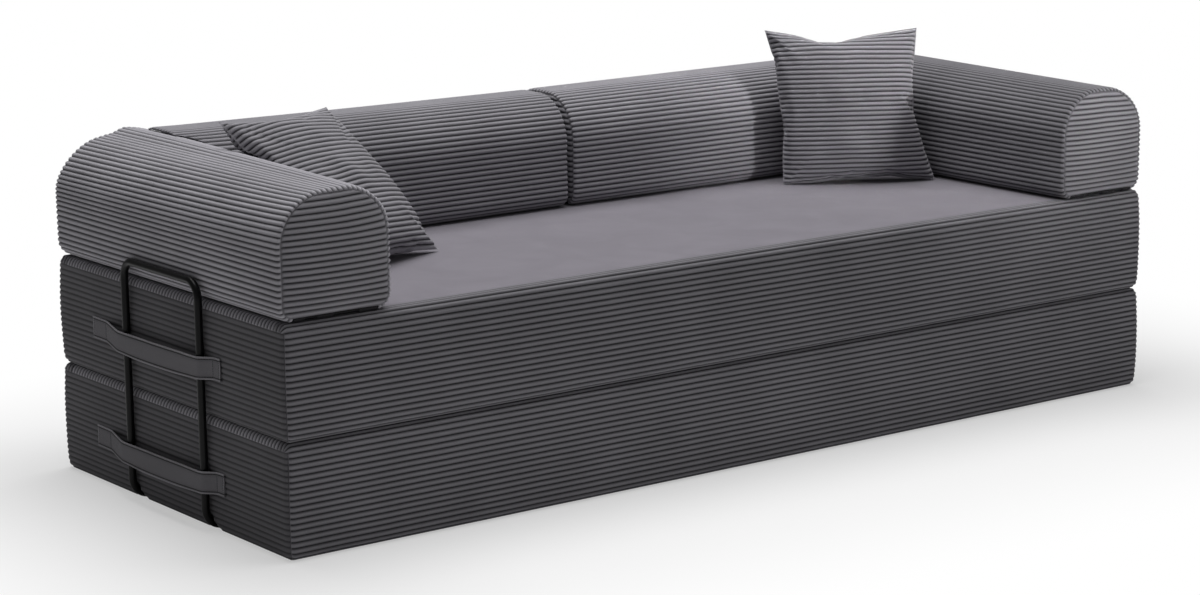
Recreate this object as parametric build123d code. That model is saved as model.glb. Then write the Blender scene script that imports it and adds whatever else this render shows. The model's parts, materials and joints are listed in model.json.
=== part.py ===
"""Modular sofa bed: two stacked foam pads, two armrests, two back bolsters, two pillows
and a bent steel tube bracket at each end. Millimetres, +Z up, origin on the floor under
the middle of the pads. -Y is the front, -X the left end as one looks at the front."""

from build123d import *

import os
from math import cos, radians, sin

os.makedirs("parts", exist_ok=True)

# Pads: the base pad lies on the floor and the seat pad on the base pad
pad_length = 2000.0
pad_depth = 800.0
pad_height = 200.0
pad_crown = 6.0  # how far each side swells at mid height
pad_edge_radius = 28.0
pad_corner_radius = 18.0
panel_border = 38.0  # ribbed border round the smooth top panel
panel_corner_radius = 20.0

# Covers, and the running gaps between soft pieces
cover_wall = 3.0
fill_gap = 0.3  # between a cover and what it holds
rest_gap = 0.3  # between a soft piece and what it stands on or leans against
sew_gap = 0.2  # between a sewn-on piece and its cover

# Armrests and back bolsters share one D-shaped section
block_width = 220.0
block_height = 215.0
block_top_crown = 4.0
block_top_radius_share = 0.41  # of the block's width
block_bottom_radius = 28.0
block_end_depth = 19.0  # over which each end rounds off and swells
end_depth_shares = (0.0, 0.4, 0.72, 0.92, 1.0)  # of that depth, at each section of an end
end_size_shares = (1.0, 0.985, 0.94, 0.84, 0.6)  # of the block's section, at each of them
module_gap = 4.0  # between neighbouring blocks

# Zips
zip_width = 24.0
zip_depth = 1.2
zip_recess = 1.6
zip_margin = 150.0  # from the end of the piece to the end of its zip
coil_width = 5.0
coil_height = 0.3
block_zip_offset = 48.0  # from the middle of a block's underside

# Hook and loop strips
strip_length = 160.0
strip_width = 50.0
strip_depth = 1.2
strip_recess = 1.4
strip_spacing_shares = (-0.28, 0.28)  # a block's two strips, along its length from the middle
strip_offset = 20.0  # from the middle of a block's underside

# Strap handles, one on each end of each pad
strap_length = 450.0
strap_width = 40.0
strap_thick = 3.0
strap_height = 90.0  # middle of the strap above the pad's underside
strap_shift = 30.0  # behind the middle of the pad
strap_front_box = 25.0  # sewn flat at its front end
strap_back_box = 50.0  # sewn flat at its back end
strap_bend_radius = 9.0
strap_slack = 2.5  # between the strap and the bracket's legs

# Brackets
tube_diameter = 14.0
tube_wall = 1.5
bracket_span = 258.0  # between the middles of the two legs
bracket_shift = -9.0  # the bracket's middle, from the middle of the pad
bracket_rise = 40.0  # top of the tube above the seat pad
bracket_gap = 1.0  # between the tube and the pads' ends
bracket_top_radius = 30.0
bracket_foot_radius = 32.0
bracket_foot_length = 300.0
slot_gap = 0.3  # round the tube in the base pad's underside
plug_head = 2.0
plug_length = 14.0
plug_gap = 0.1

# Pillows
pillow_size = 326.0
pillow_thick = 118.0
pillow_draw = 17.0  # how far each side is drawn in between the corners
pillow_edge = 6.0  # thickness along the sewn edge
pillow_wall = 2.0
right_pillow_turn = -30.0  # degrees from facing straight forward
right_pillow_lean = 9.0  # degrees back from upright
right_pillow_side = 159.0  # its middle, from the right armrest's inner face
right_pillow_front = 112.0  # its middle, from the bolsters' front faces
left_pillow_turn = 24.0
left_pillow_lean = 41.0
left_pillow_side = 140.0
left_pillow_front = 171.0
pillow_sink = 7.0  # how far a pillow's foot is pressed flat

overrun = 5.0  # past a face, for cuts

# Places worked out from the sizes above
half_length = pad_length / 2
half_depth = pad_depth / 2
seat_bottom = pad_height + rest_gap
seat_top = seat_bottom + pad_height
block_bottom = seat_top + rest_gap
tube_radius = tube_diameter / 2
leg_x = half_length + bracket_gap + tube_radius
bracket_top = seat_top + bracket_rise
bolster_length = (pad_length - 2 * block_width - 3 * module_gap) / 2
arm_inner = half_length - block_width
bolster_front = half_depth - block_width
block_top_radius = block_top_radius_share * block_width


def box_between(low, high):
    """A plain box from its low corner to its high corner."""
    size = [b - a for a, b in zip(low, high)]
    return Pos(*low) * Box(*size, align=(Align.MIN, Align.MIN, Align.MIN))


def bowed_section(width, height, crown, radius):
    """A pad's section: flat top and bottom, swelling sides, rounded edges."""
    half, foot = width / 2, width / 2 - crown
    outline = Polyline((-foot, 0), (foot, 0)) + Polyline((foot, height), (-foot, height))
    outline += ThreePointArc((foot, 0), (half, height / 2), (foot, height))
    outline += ThreePointArc((-foot, height), (-half, height / 2), (-foot, 0))
    face = make_face(outline)
    return fillet(face.vertices(), radius)


def pad_form(inset):
    """The swollen block of one pad, its sides and faces set in by a wall."""
    length, depth = pad_length - 2 * inset, pad_depth - 2 * inset
    height, edge = pad_height - 2 * inset, pad_edge_radius - inset
    plan = extrude(RectangleRounded(length, depth, pad_corner_radius - inset), height)
    front = extrude(Plane.YZ * bowed_section(depth, height, pad_crown, edge), length, both=True)
    end = extrude(Plane.XZ * bowed_section(length, height, pad_crown, edge), depth, both=True)
    return Pos(0, 0, inset) * (plan & front & end)


def pad_panel(inset, grow):
    """The smooth panel let into a pad's top, grown sideways, down to a depth of one wall."""
    length = pad_length - 2 * panel_border + 2 * grow
    depth = pad_depth - 2 * panel_border + 2 * grow
    sheet = extrude(RectangleRounded(length, depth, panel_corner_radius + grow), cover_wall + inset)
    return Pos(0, 0, pad_height - cover_wall) * sheet


def tube_slots(grow):
    """Open slots under the base pad for the bracket's feet, as wide as the tube and the growth."""
    reach, inner = tube_radius + grow, bracket_foot_radius - tube_radius - grow
    bend_x, bend_z = leg_x - bracket_foot_radius, bracket_foot_radius + tube_radius
    end_x = leg_x - bracket_foot_length - plug_head - grow
    far_x = half_length + overrun
    slots = []
    for side in (-1, 1):
        outline = Polyline(
            (side * end_x, -overrun),
            (side * end_x, tube_diameter + grow),
            (side * bend_x, tube_diameter + grow),
        )
        outline += RadiusArc(
            (side * bend_x, tube_diameter + grow),
            (side * (bend_x + inner), bend_z),
            -side * inner,
        )
        outline += Polyline(
            (side * (bend_x + inner), bend_z),
            (side * far_x, bend_z),
            (side * far_x, -overrun),
            (side * end_x, -overrun),
        )
        profile = Plane.XZ * make_face(outline)
        for leg in (-1, 1):
            place = bracket_shift + leg * bracket_span / 2
            slots.append(Pos(0, place, 0) * extrude(profile, reach, both=True))
    return slots


def zip_bed(length, width, depth):
    """A zip's recess or tape, lying along X with its outer face on Z = 0."""
    return Pos(0, 0, -depth / 2) * Box(length, width, depth)


def zip_strip(length):
    """The zip itself: tape with its row of teeth, lying in its recess with its face outward."""
    tape = zip_bed(length, zip_width - 2 * fill_gap, zip_depth)
    coil = Pos(0, 0, coil_height / 2) * Box(length, coil_width, coil_height)
    return Pos(0, 0, zip_depth - zip_recess + sew_gap / 2) * (tape + coil)


def pad_zip_place():
    """Where a pad's zip lies: on the back face at mid height, facing back."""
    return Plane(origin=(0, half_depth, pad_height / 2), x_dir=(1, 0, 0), z_dir=(0, 1, 0))


def pad_cover(with_slots):
    """The ribbed cover: a shell open where the smooth panel is sewn in."""
    outer, inner = pad_form(0), pad_form(cover_wall)
    if with_slots:
        outer, inner = outer - tube_slots(slot_gap), inner - tube_slots(slot_gap + cover_wall)
    recess = zip_bed(pad_length - 2 * zip_margin, zip_width, zip_recess)
    return outer - inner - pad_panel(overrun, fill_gap / 2) - pad_zip_place() * recess


def pad_core(with_slots):
    """The foam block inside a pad's cover."""
    core = pad_form(cover_wall + fill_gap)
    if with_slots:
        core -= tube_slots(slot_gap + cover_wall + fill_gap)
    return core


def seat_strip_beds(grow, depth):
    """The loop strips let into the seat pad's smooth panel, under every block."""
    beds = []
    for place, length in block_places():
        for share in strip_spacing_shares:
            strip = Box(strip_length + 2 * grow, strip_width + 2 * grow, depth + grow)
            spot = place * Pos(share * length, -strip_offset, 0)
            beds.append(spot * Pos(0, 0, -rest_gap - (depth - grow) / 2) * strip)
    return beds


def pad_zip():
    """A pad's zip, in its recess on the back face."""
    return pad_zip_place() * zip_strip(pad_length - 2 * zip_margin - 2 * fill_gap)


def strap(side):
    """A strap handle: sewn flat at both ends, standing off behind the bracket's legs."""
    flat_x = half_length + sew_gap + strap_thick / 2
    proud_x = leg_x + tube_radius + strap_slack + strap_thick / 2
    front, back = strap_shift - strap_length / 2, strap_shift + strap_length / 2
    leg_front = bracket_shift - bracket_span / 2 - tube_radius
    leg_back = bracket_shift + bracket_span / 2 + tube_radius
    path = FilletPolyline(
        (side * flat_x, front),
        (side * flat_x, front + strap_front_box),
        (side * proud_x, leg_front),
        (side * proud_x, leg_back + tube_radius),
        (side * flat_x, back - strap_back_box),
        (side * flat_x, back),
        radius=strap_bend_radius,
    )
    section = Plane(origin=path @ 0, z_dir=path % 0, x_dir=(1, 0, 0))
    ribbon = sweep(section * Rectangle(strap_thick, strap_width), path=path)
    return Pos(0, 0, strap_height) * ribbon


def bracket_path(side):
    """The middle line of the tube: foot, leg, top bar, leg, foot."""
    toe_x, low, high = leg_x - bracket_foot_length, tube_radius, bracket_top - tube_radius
    front, back = bracket_shift - bracket_span / 2, bracket_shift + bracket_span / 2
    return FilletPolyline(
        (side * toe_x, front, low),
        (side * leg_x, front, low),
        (side * leg_x, front, high),
        (side * leg_x, back, high),
        (side * leg_x, back, low),
        (side * toe_x, back, low),
        radius=[bracket_foot_radius, bracket_top_radius, bracket_top_radius, bracket_foot_radius],
    )


def bracket(side):
    """One steel tube, bent four times."""
    path = bracket_path(side)
    section = Plane(origin=path @ 0, z_dir=path % 0) * Circle(tube_radius)
    bore = Plane(origin=path @ 0, z_dir=path % 0) * Circle(tube_radius - tube_wall)
    return sweep(section, path=path) - sweep(bore, path=path)


def bracket_plugs(side):
    """The plugs that close a bracket's two tube ends: a flat head and a ribless spigot."""
    toe_x = leg_x - bracket_foot_length
    head = Pos(0, 0, plug_head / 2) * Cylinder(tube_radius, plug_head)
    head = fillet(head.edges().group_by(Axis.Z)[-1], plug_head / 2)
    spigot_radius = tube_radius - tube_wall - plug_gap
    spigot = Pos(0, 0, -plug_length / 2) * Cylinder(spigot_radius, plug_length)
    plug = head + spigot
    plugs = []
    for leg in (-1, 1):
        place = bracket_shift + leg * bracket_span / 2
        toe = Plane(origin=(side * toe_x, place, tube_radius), z_dir=(-side, 0, 0))
        plugs.append(toe * plug)
    return plugs


def block_section(inset, grow):
    """The D of a block about its middle: flat underside and sides, arched top, rounded corners."""
    width, height = block_width - 2 * inset + 2 * grow, block_height - 2 * inset + 2 * grow
    half, crest = width / 2, height / 2
    shoulder = crest - block_top_crown
    outline = Polyline((-half, shoulder), (-half, -crest), (half, -crest), (half, shoulder))
    outline += ThreePointArc((half, shoulder), (0, crest), (-half, shoulder))
    face = make_face(outline)
    corners = face.vertices().sort_by(Axis.Y)
    face = fillet(corners[:2], block_bottom_radius - inset + grow)
    top_corners = [v for v in face.vertices() if abs(v.Y - shoulder) < block_top_crown]
    return fillet(top_corners, block_top_radius - inset + grow)


def block_form(length, inset, grow=0.0):
    """A D-shaped block along X: a straight bar with softly crowned ends."""
    section = block_section(inset, grow)
    flat = length / 2 - inset + grow - block_end_depth
    stations = [
        Plane.YZ.offset(flat + depth_share * block_end_depth) * scale(section, by=size_share)
        for depth_share, size_share in zip(end_depth_shares, end_size_shares)
    ]
    cap = loft(stations)
    bar = extrude(Plane.YZ * section, flat, both=True)
    return Pos(0, 0, block_height / 2) * (bar + cap + mirror(cap, about=Plane.YZ))


def block_zip_place():
    """Where a block's zip lies: on its underside, towards its outer side, facing down."""
    return Plane(origin=(0, block_zip_offset, 0), x_dir=(1, 0, 0), z_dir=(0, 0, -1))


def block_strips(length, grow, depth):
    """The hook strips let into a block's underside."""
    strips = []
    for share in strip_spacing_shares:
        strip = Box(strip_length + 2 * grow, strip_width + 2 * grow, depth + grow)
        strips.append(Pos(share * length, -strip_offset, (depth - grow) / 2) * strip)
    return strips


def block_cover(length):
    """The ribbed cover of a block, with the beds of its zip and strips."""
    outer, inner = block_form(length, 0), block_form(length, cover_wall)
    zip_length = length - zip_margin
    shell = outer - inner - block_zip_place() * zip_bed(zip_length, zip_width, zip_recess)
    return shell - block_strips(length, fill_gap, strip_recess)


def block_core(length):
    """The foam inside a block's cover."""
    return block_form(length, cover_wall + fill_gap)


def block_places():
    """Where each block stands, and its length: left arm, right arm, left and right bolster."""
    arm_x, bolster_y = half_length - block_width / 2, half_depth - block_width / 2
    bolster_x = (bolster_length + module_gap) / 2
    return [
        (Pos(-arm_x, 0, block_bottom) * Rot(0, 0, 90), pad_depth),
        (Pos(arm_x, 0, block_bottom) * Rot(0, 0, -90), pad_depth),
        (Pos(-bolster_x, bolster_y, block_bottom), bolster_length),
        (Pos(bolster_x, bolster_y, block_bottom), bolster_length),
    ]


def pillow_form(inset):
    """A square pillow on its own plane: crowned both ways, its sides drawn in."""
    size, thick = pillow_size - 2 * inset, pillow_thick - 2 * inset
    edge = pillow_edge - 2 * inset
    station_shares = (-0.5, -0.28, 0, 0.28, 0.5)
    thick_shares = (0.0, 0.74, 1.0, 0.74, 0.0)
    stations = []
    for along, swell in zip(station_shares, thick_shares):
        rise = edge / 2 + (thick - edge) / 2 * max(swell, edge / thick)
        half, lip = size / 2, edge / 2
        outline = Polyline((-half, lip), (-half, -lip))
        outline += ThreePointArc((-half, -lip), (0, -rise), (half, -lip))
        outline += Polyline((half, -lip), (half, lip))
        outline += ThreePointArc((half, lip), (0, rise), (-half, lip))
        stations.append(Plane.YZ.offset(along * size) * make_face(outline))
    body = loft(stations)
    half, waist = size / 2, size / 2 - pillow_draw
    ends = [(-half, -half), (half, -half), (half, half), (-half, half)]
    middles = [(0, -waist), (waist, 0), (0, waist), (-waist, 0)]
    outline = Curve() + [
        ThreePointArc(ends[i], middles[i], ends[(i + 1) % len(ends)]) for i in range(len(ends))
    ]
    return body & extrude(make_face(outline), thick, both=True)


def pillow_plane(side):
    """Where a pillow leans: in the corner of the armrest and the bolster on its side."""
    right = side > 0
    turn = radians(right_pillow_turn if right else left_pillow_turn)
    lean = radians(right_pillow_lean if right else left_pillow_lean)
    off_side = right_pillow_side if right else left_pillow_side
    off_front = right_pillow_front if right else left_pillow_front
    across = Vector(cos(turn), sin(turn), 0)
    facing = Vector(sin(turn) * cos(lean), -cos(turn) * cos(lean), sin(lean))
    rise = pillow_size / 2 * cos(lean) - pillow_sink
    middle = (side * (arm_inner - off_side), bolster_front - off_front, seat_top + rise)
    return Plane(origin=middle, x_dir=across, z_dir=facing)


def pillow_layer(side, inset):
    """A pillow's outer form or what lies inside it, pressed flat where it meets its neighbours."""
    form = pillow_plane(side) * pillow_form(inset)
    press = rest_gap + inset
    floor = box_between(
        (-pad_length, -pad_length, 0), (pad_length, pad_length, seat_top + press)
    )
    form -= floor
    arm_place, arm_length = block_places()[0 if side < 0 else 1]
    bolster_place, length = block_places()[2 if side < 0 else 3]
    form -= arm_place * block_form(arm_length, 0, press)
    return form - bolster_place * block_form(length, 0, press)


def save(name, shape):
    """Write one node's solids to its own file."""
    pieces = shape if isinstance(shape, list) else [shape]
    solids = [solid for piece in pieces for solid in piece.solids()]
    print(name, len(solids), "solids")
    export_step(Compound(children=solids) if len(solids) > 1 else solids[0], f"parts/{name}.step")


def save_pads():
    """Both pads: cover, smooth panel, core, zip and straps."""
    for name, base_z, slots in (("base", 0.0, True), ("seat", seat_bottom, False)):
        up = Pos(0, 0, base_z)
        panel, beds = up * pad_panel(0, -fill_gap / 2), seat_strip_beds(fill_gap, strip_recess)
        save(f"{name}_cover", up * pad_cover(slots))
        save(f"{name}_top_panel", panel if slots else panel - beds)
        save(f"{name}_core", up * pad_core(slots))
        save(f"{name}_zip", up * pad_zip())
        save(f"{name}_strap_left", up * strap(-1))
        save(f"{name}_strap_right", up * strap(1))
    save("seat_loop_strips", seat_strip_beds(0, strip_depth))


def save_blocks():
    """Armrests and bolsters: cover, core, zip and hook strips."""
    names = ("armrest_left", "armrest_right", "bolster_left", "bolster_right")
    for name, (place, length) in zip(names, block_places()):
        save(f"{name}_cover", place * block_cover(length))
        save(f"{name}_core", place * block_core(length))
        zip_length = length - zip_margin - 2 * fill_gap
        save(f"{name}_zip", place * (block_zip_place() * zip_strip(zip_length)))
        save(f"{name}_hook_strips", [place * s for s in block_strips(length, 0, strip_depth)])


def save_pillows():
    """Both pillows: cover and filling."""
    for name, side in (("pillow_left", -1), ("pillow_right", 1)):
        inner = pillow_layer(side, pillow_wall)
        save(f"{name}_cover", pillow_layer(side, 0) - inner)
        save(f"{name}_filling", pillow_layer(side, pillow_wall + fill_gap))


def save_brackets():
    """Both brackets with their plugs."""
    for name, side in (("bracket_left", -1), ("bracket_right", 1)):
        save(name, bracket(side))
        save(f"{name}_plugs", bracket_plugs(side))


save_pads()
save_blocks()
save_pillows()
save_brackets()
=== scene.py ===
"""Looks of the modular sofa bed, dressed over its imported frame.

Two corduroy floor pads with smooth tops, two D-shaped armrests, two D-shaped back bolsters,
two pillows, four strap handles and two bent steel tube brackets. Sizes inside the classes are
millimetres in the frame's own axes: +X to the right end, +Y to the back, +Z up.
"""

import json
import logging
import math
from dataclasses import dataclass
from enum import Enum
from functools import partial

import bpy
import numpy as np
from mathutils import Matrix, Vector

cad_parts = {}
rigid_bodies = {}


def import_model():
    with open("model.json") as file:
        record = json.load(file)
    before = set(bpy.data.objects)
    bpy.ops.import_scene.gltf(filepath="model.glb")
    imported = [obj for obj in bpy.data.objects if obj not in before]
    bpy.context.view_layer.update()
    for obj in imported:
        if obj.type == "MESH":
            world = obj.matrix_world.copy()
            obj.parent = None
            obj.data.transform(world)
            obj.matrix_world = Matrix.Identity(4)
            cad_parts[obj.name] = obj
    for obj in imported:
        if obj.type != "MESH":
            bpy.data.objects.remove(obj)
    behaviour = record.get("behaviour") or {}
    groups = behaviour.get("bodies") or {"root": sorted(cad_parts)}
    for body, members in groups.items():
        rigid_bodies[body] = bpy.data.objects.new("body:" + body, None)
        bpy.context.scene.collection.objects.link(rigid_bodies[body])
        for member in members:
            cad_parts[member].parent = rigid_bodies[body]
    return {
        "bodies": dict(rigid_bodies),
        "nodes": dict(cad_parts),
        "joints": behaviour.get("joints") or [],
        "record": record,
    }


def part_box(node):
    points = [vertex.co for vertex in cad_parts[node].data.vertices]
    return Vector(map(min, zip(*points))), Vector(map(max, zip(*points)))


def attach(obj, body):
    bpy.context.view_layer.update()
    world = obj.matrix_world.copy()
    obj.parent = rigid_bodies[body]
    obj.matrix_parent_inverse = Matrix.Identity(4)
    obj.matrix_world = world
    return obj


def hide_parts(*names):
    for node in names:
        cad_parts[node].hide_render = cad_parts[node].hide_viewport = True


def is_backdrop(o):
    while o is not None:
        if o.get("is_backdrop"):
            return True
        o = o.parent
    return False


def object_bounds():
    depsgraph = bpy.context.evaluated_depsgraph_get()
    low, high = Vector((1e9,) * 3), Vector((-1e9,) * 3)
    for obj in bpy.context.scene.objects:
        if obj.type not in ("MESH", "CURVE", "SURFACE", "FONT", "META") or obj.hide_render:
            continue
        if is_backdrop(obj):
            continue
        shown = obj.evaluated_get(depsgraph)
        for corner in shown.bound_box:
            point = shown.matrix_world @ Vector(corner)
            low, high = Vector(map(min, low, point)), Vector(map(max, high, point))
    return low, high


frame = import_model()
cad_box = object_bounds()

log = logging.getLogger("sofa_bed")

MM = 0.001
QUARTER = math.pi / 2
UP = np.array([0.0, 0.0, 1.0])
RIB_PITCH = 10.0  # from groove to groove of the wide corduroy
RIB_DEPTH = 2.8  # from a rib's crown to the groove beside it
RIB_ROUND = 1.1  # how narrow a rib's crown is, where 1 is a plain arch
RIB_SAMPLES = (0.0, 0.13, 0.3, 0.5, 0.7, 0.87)  # where one rib gets its rows of points
SEAM_TUCK = 3.0  # how deep a seam pulls both cloths in
SEAM_PAINTED_SHADE = 0.85  # how much painted shade darkens a cloth down in a seam
SEAT_BOTTOM = 200.3  # the seat pad's underside, just clear of the base pad
BLOCK_BOTTOM = 400.6  # the armrests' and bolsters' undersides, just clear of the seat pad
BLOCK_WIDTH, BLOCK_HEIGHT = 220.0, 215.0
BLOCK_TOP_RADIUS, BLOCK_LOW_RADIUS = 90.0, 28.0
LEG_STEPS = (0, 4.5, 7, 8.5, 10.5, 13, 16, 22)  # points on either side of a bracket's leg


class Weave(Enum):
    """How the threads of a cloth cross."""

    PLAIN = "plain"
    TWILL = "twill"


class End(Enum):
    """The two ends of the sofa, as the sign of X."""

    LEFT = -1
    RIGHT = 1


def linear(hex_colour: str) -> tuple[float, float, float, float]:
    """Turn an sRGB hex colour into the linear colour that shaders read.

    Args:
        hex_colour: Six hex digits after a hash sign.

    Returns:
        Red, green, blue and an alpha of 1, all linear.
    """
    channels = [int(hex_colour[i : i + 2], 16) / 255 for i in (1, 3, 5)]
    parts = [c / 12.92 if c <= 0.04045 else ((c + 0.055) / 1.055) ** 2.4 for c in channels]
    return (parts[0], parts[1], parts[2], 1.0)


def add_node(
    tree: bpy.types.NodeTree,
    kind: str,
    settings: dict | None = None,
    links: dict | None = None,
) -> bpy.types.Node:
    """Add one shader node, set its values and join its inputs.

    Args:
        tree: The material's node tree.
        kind: The node's type name.
        settings: Values by input name, input number or property name.
        links: The output that feeds an input, by input name or number.

    Returns:
        The new node.
    """
    node = tree.nodes.new(kind)
    for name, value in (settings or {}).items():
        if isinstance(name, int) or name in node.inputs:
            node.inputs[name].default_value = value
        else:
            setattr(node, name, value)
    for name, source in (links or {}).items():
        tree.links.new(source, node.inputs[name])
    return node


def ladder(stops: list[float], pitch: float) -> np.ndarray:
    """Spread positions between stops, keeping every stop.

    Args:
        stops: Rising positions that are kept exactly.
        pitch: The widest step allowed between positions.

    Returns:
        All positions in rising order.
    """
    runs = []
    for low, high in zip(stops[:-1], stops[1:]):
        steps = max(1, math.ceil((high - low) / pitch - 1e-6))
        runs.append(np.linspace(low, high, steps, endpoint=False))
    return np.append(np.concatenate(runs), stops[-1])


def rib_rows(count: int) -> np.ndarray:
    """Row positions, in ribs, for a whole number of ribs."""
    return np.append([i + share for i in range(count) for share in RIB_SAMPLES], count)


def smoothstep(low: float, high: float, values: np.ndarray) -> np.ndarray:
    """Ease from 0 at low to 1 at high."""
    t = np.clip((values - low) / (high - low), 0, 1)
    return t * t * (3 - 2 * t)


def wander(points: np.ndarray, size: float, seed: float) -> np.ndarray:
    """A soft, uneven field without any chance in it, between about -1 and 1.

    Args:
        points: Positions in millimetres, with x, y and z last.
        size: How far apart the humps lie.
        seed: Shifts the field, so that two pieces differ.

    Returns:
        One number for each position.
    """
    x, y, z = (points[..., i] / size for i in range(3))
    a = np.sin(2.1 * x + 1.3 * z + seed) + np.sin(1.7 * y - 2.3 * z + 1.9 * seed)
    b = np.sin(3.3 * x + 2.9 * y + 0.7 * seed) + np.sin(4.1 * z - 3.7 * x + 2.3 * seed)
    return (a + 0.6 * b) / 3.2


def refine(grid: np.ndarray, rows: np.ndarray, columns: np.ndarray) -> np.ndarray:
    """Carry a coarse grid to finer places, on a smooth curve through its points.

    Args:
        grid: Rows by columns of values, each a vector.
        rows: Wanted places along the rows, counted in coarse steps.
        columns: Wanted places along the columns, counted in coarse steps.

    Returns:
        The values at every wanted row and column.
    """
    for axis, places in ((0, rows), (1, columns)):
        grid = np.moveaxis(grid, axis, 0)
        last = len(grid) - 1
        base = np.clip(np.floor(places).astype(int), 0, last - 1)
        t = (places - base)[:, None, None]
        a, b, c, d = (grid[np.clip(base + step, 0, last)] for step in (-1, 0, 1, 2))
        curve = c - a + t * (2 * a - 5 * b + 4 * c - d + t * (3 * (b - c) + d - a))
        grid = np.moveaxis(b + 0.5 * t * curve, 0, axis)
    return grid


def grid_faces(index: np.ndarray) -> np.ndarray:
    """Quads between the neighbours of a grid of point numbers."""
    corners = [index[:-1, :-1], index[:-1, 1:], index[1:, 1:], index[1:, :-1]]
    return np.stack(corners, -1).reshape(-1, 4)


def spread(x: np.ndarray, y: np.ndarray, z: np.ndarray) -> np.ndarray:
    """Join three grids, rows or columns of numbers into one grid of positions."""
    return np.stack(np.broadcast_arrays(x, y, z), -1)


def unit(vectors: np.ndarray) -> np.ndarray:
    """The same directions, each of length 1."""
    return vectors / np.maximum(np.linalg.norm(vectors, axis=-1, keepdims=True), 1e-9)


def mirrored(*grids: np.ndarray, axis: int = 0) -> list[np.ndarray]:
    """The same grids of positions or directions on the sofa's other side."""
    flip = 1 - 2 * np.eye(3)[axis]
    return [grid * flip for grid in grids]


def walked(points: np.ndarray, axis: int) -> np.ndarray:
    """How far along its row or column each point of a grid lies."""
    steps = np.cumsum(np.linalg.norm(np.diff(points, axis=axis), axis=2), axis=axis)
    return np.insert(steps, 0, 0, axis=axis)


def stitched(distance: np.ndarray, width: float) -> np.ndarray:
    """How hard a stitched line pulls, from 1 on it to nothing a few widths away."""
    return np.exp(-((distance / width) ** 2))


def put(name: str, data: bpy.types.ID) -> bpy.types.Object:
    """Make an object and put it in the scene."""
    placed = bpy.data.objects.new(name, data)
    bpy.context.scene.collection.objects.link(placed)
    return placed


@dataclass(frozen=True)
class ClothTrial:
    """A short cloth simulation, which gives padded cloth its own puckers and slack.

    Attributes:
        pressure: How hard the filling pushes out.
        slack: How much longer the cloth is than its pattern, as a share.
        frames: How long it settles.
        bending: How much it resists folding.
        stretch: How much it resists being pulled longer.
        shear: How much it resists being pulled askew.
        mass: How heavy its points are, in kilograms.
        quality: Steps in each frame.
        grid: The fewest and the most rows or columns that a cut is settled with.
        hump: How far apart the first unevenness has its humps, in millimetres.
        level: How far a cut may face up or down before it is left flat, as a share.
    """

    pressure: float
    slack: float = 0.0
    frames: int = 20
    bending: float = 0.5
    stretch: float = 15.0
    shear: float = 5.0
    mass: float = 0.3
    quality: int = 5
    grid: tuple[int, int] = (6, 60)
    hump: float = 70.0
    level: float = 0.7

    def settle(self, points: np.ndarray, faces: np.ndarray, pins: np.ndarray) -> np.ndarray:
        """Run the trial.

        Args:
            points: The cloth's points, in millimetres.
            faces: Its quads.
            pins: Numbers of the points that are sewn down.

        Returns:
            The points where they came to rest, in millimetres.
        """
        mesh = bpy.data.meshes.new("cloth_trial")
        mesh.from_pydata((points * MM).tolist(), [], faces.tolist())
        cloth, scene = put("cloth_trial", mesh), bpy.context.scene
        modifier = cloth.modifiers.new("cloth", "CLOTH")
        settings = modifier.settings
        settings.quality, settings.mass = self.quality, self.mass
        settings.tension_stiffness = settings.compression_stiffness = self.stretch
        settings.shear_stiffness, settings.bending_stiffness = self.shear, self.bending
        settings.effector_weights.gravity = 0.0
        settings.use_pressure = True
        settings.uniform_pressure_force = self.pressure
        settings.shrink_min = -self.slack
        if len(pins):
            cloth.vertex_groups.new(name="sewn").add([int(i) for i in pins], 1.0, "REPLACE")
            settings.vertex_group_mass = "sewn"
        modifier.point_cache.frame_start, modifier.point_cache.frame_end = 1, self.frames
        for frame in range(1, self.frames + 1):
            scene.frame_set(frame)
        settled = cloth.evaluated_get(bpy.context.evaluated_depsgraph_get())
        places = np.empty(len(points) * 3)
        settled.data.vertices.foreach_get("co", places)
        bpy.data.objects.remove(cloth)
        bpy.data.meshes.remove(mesh)
        scene.frame_set(1)
        return places.reshape(-1, 3) / MM


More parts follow.
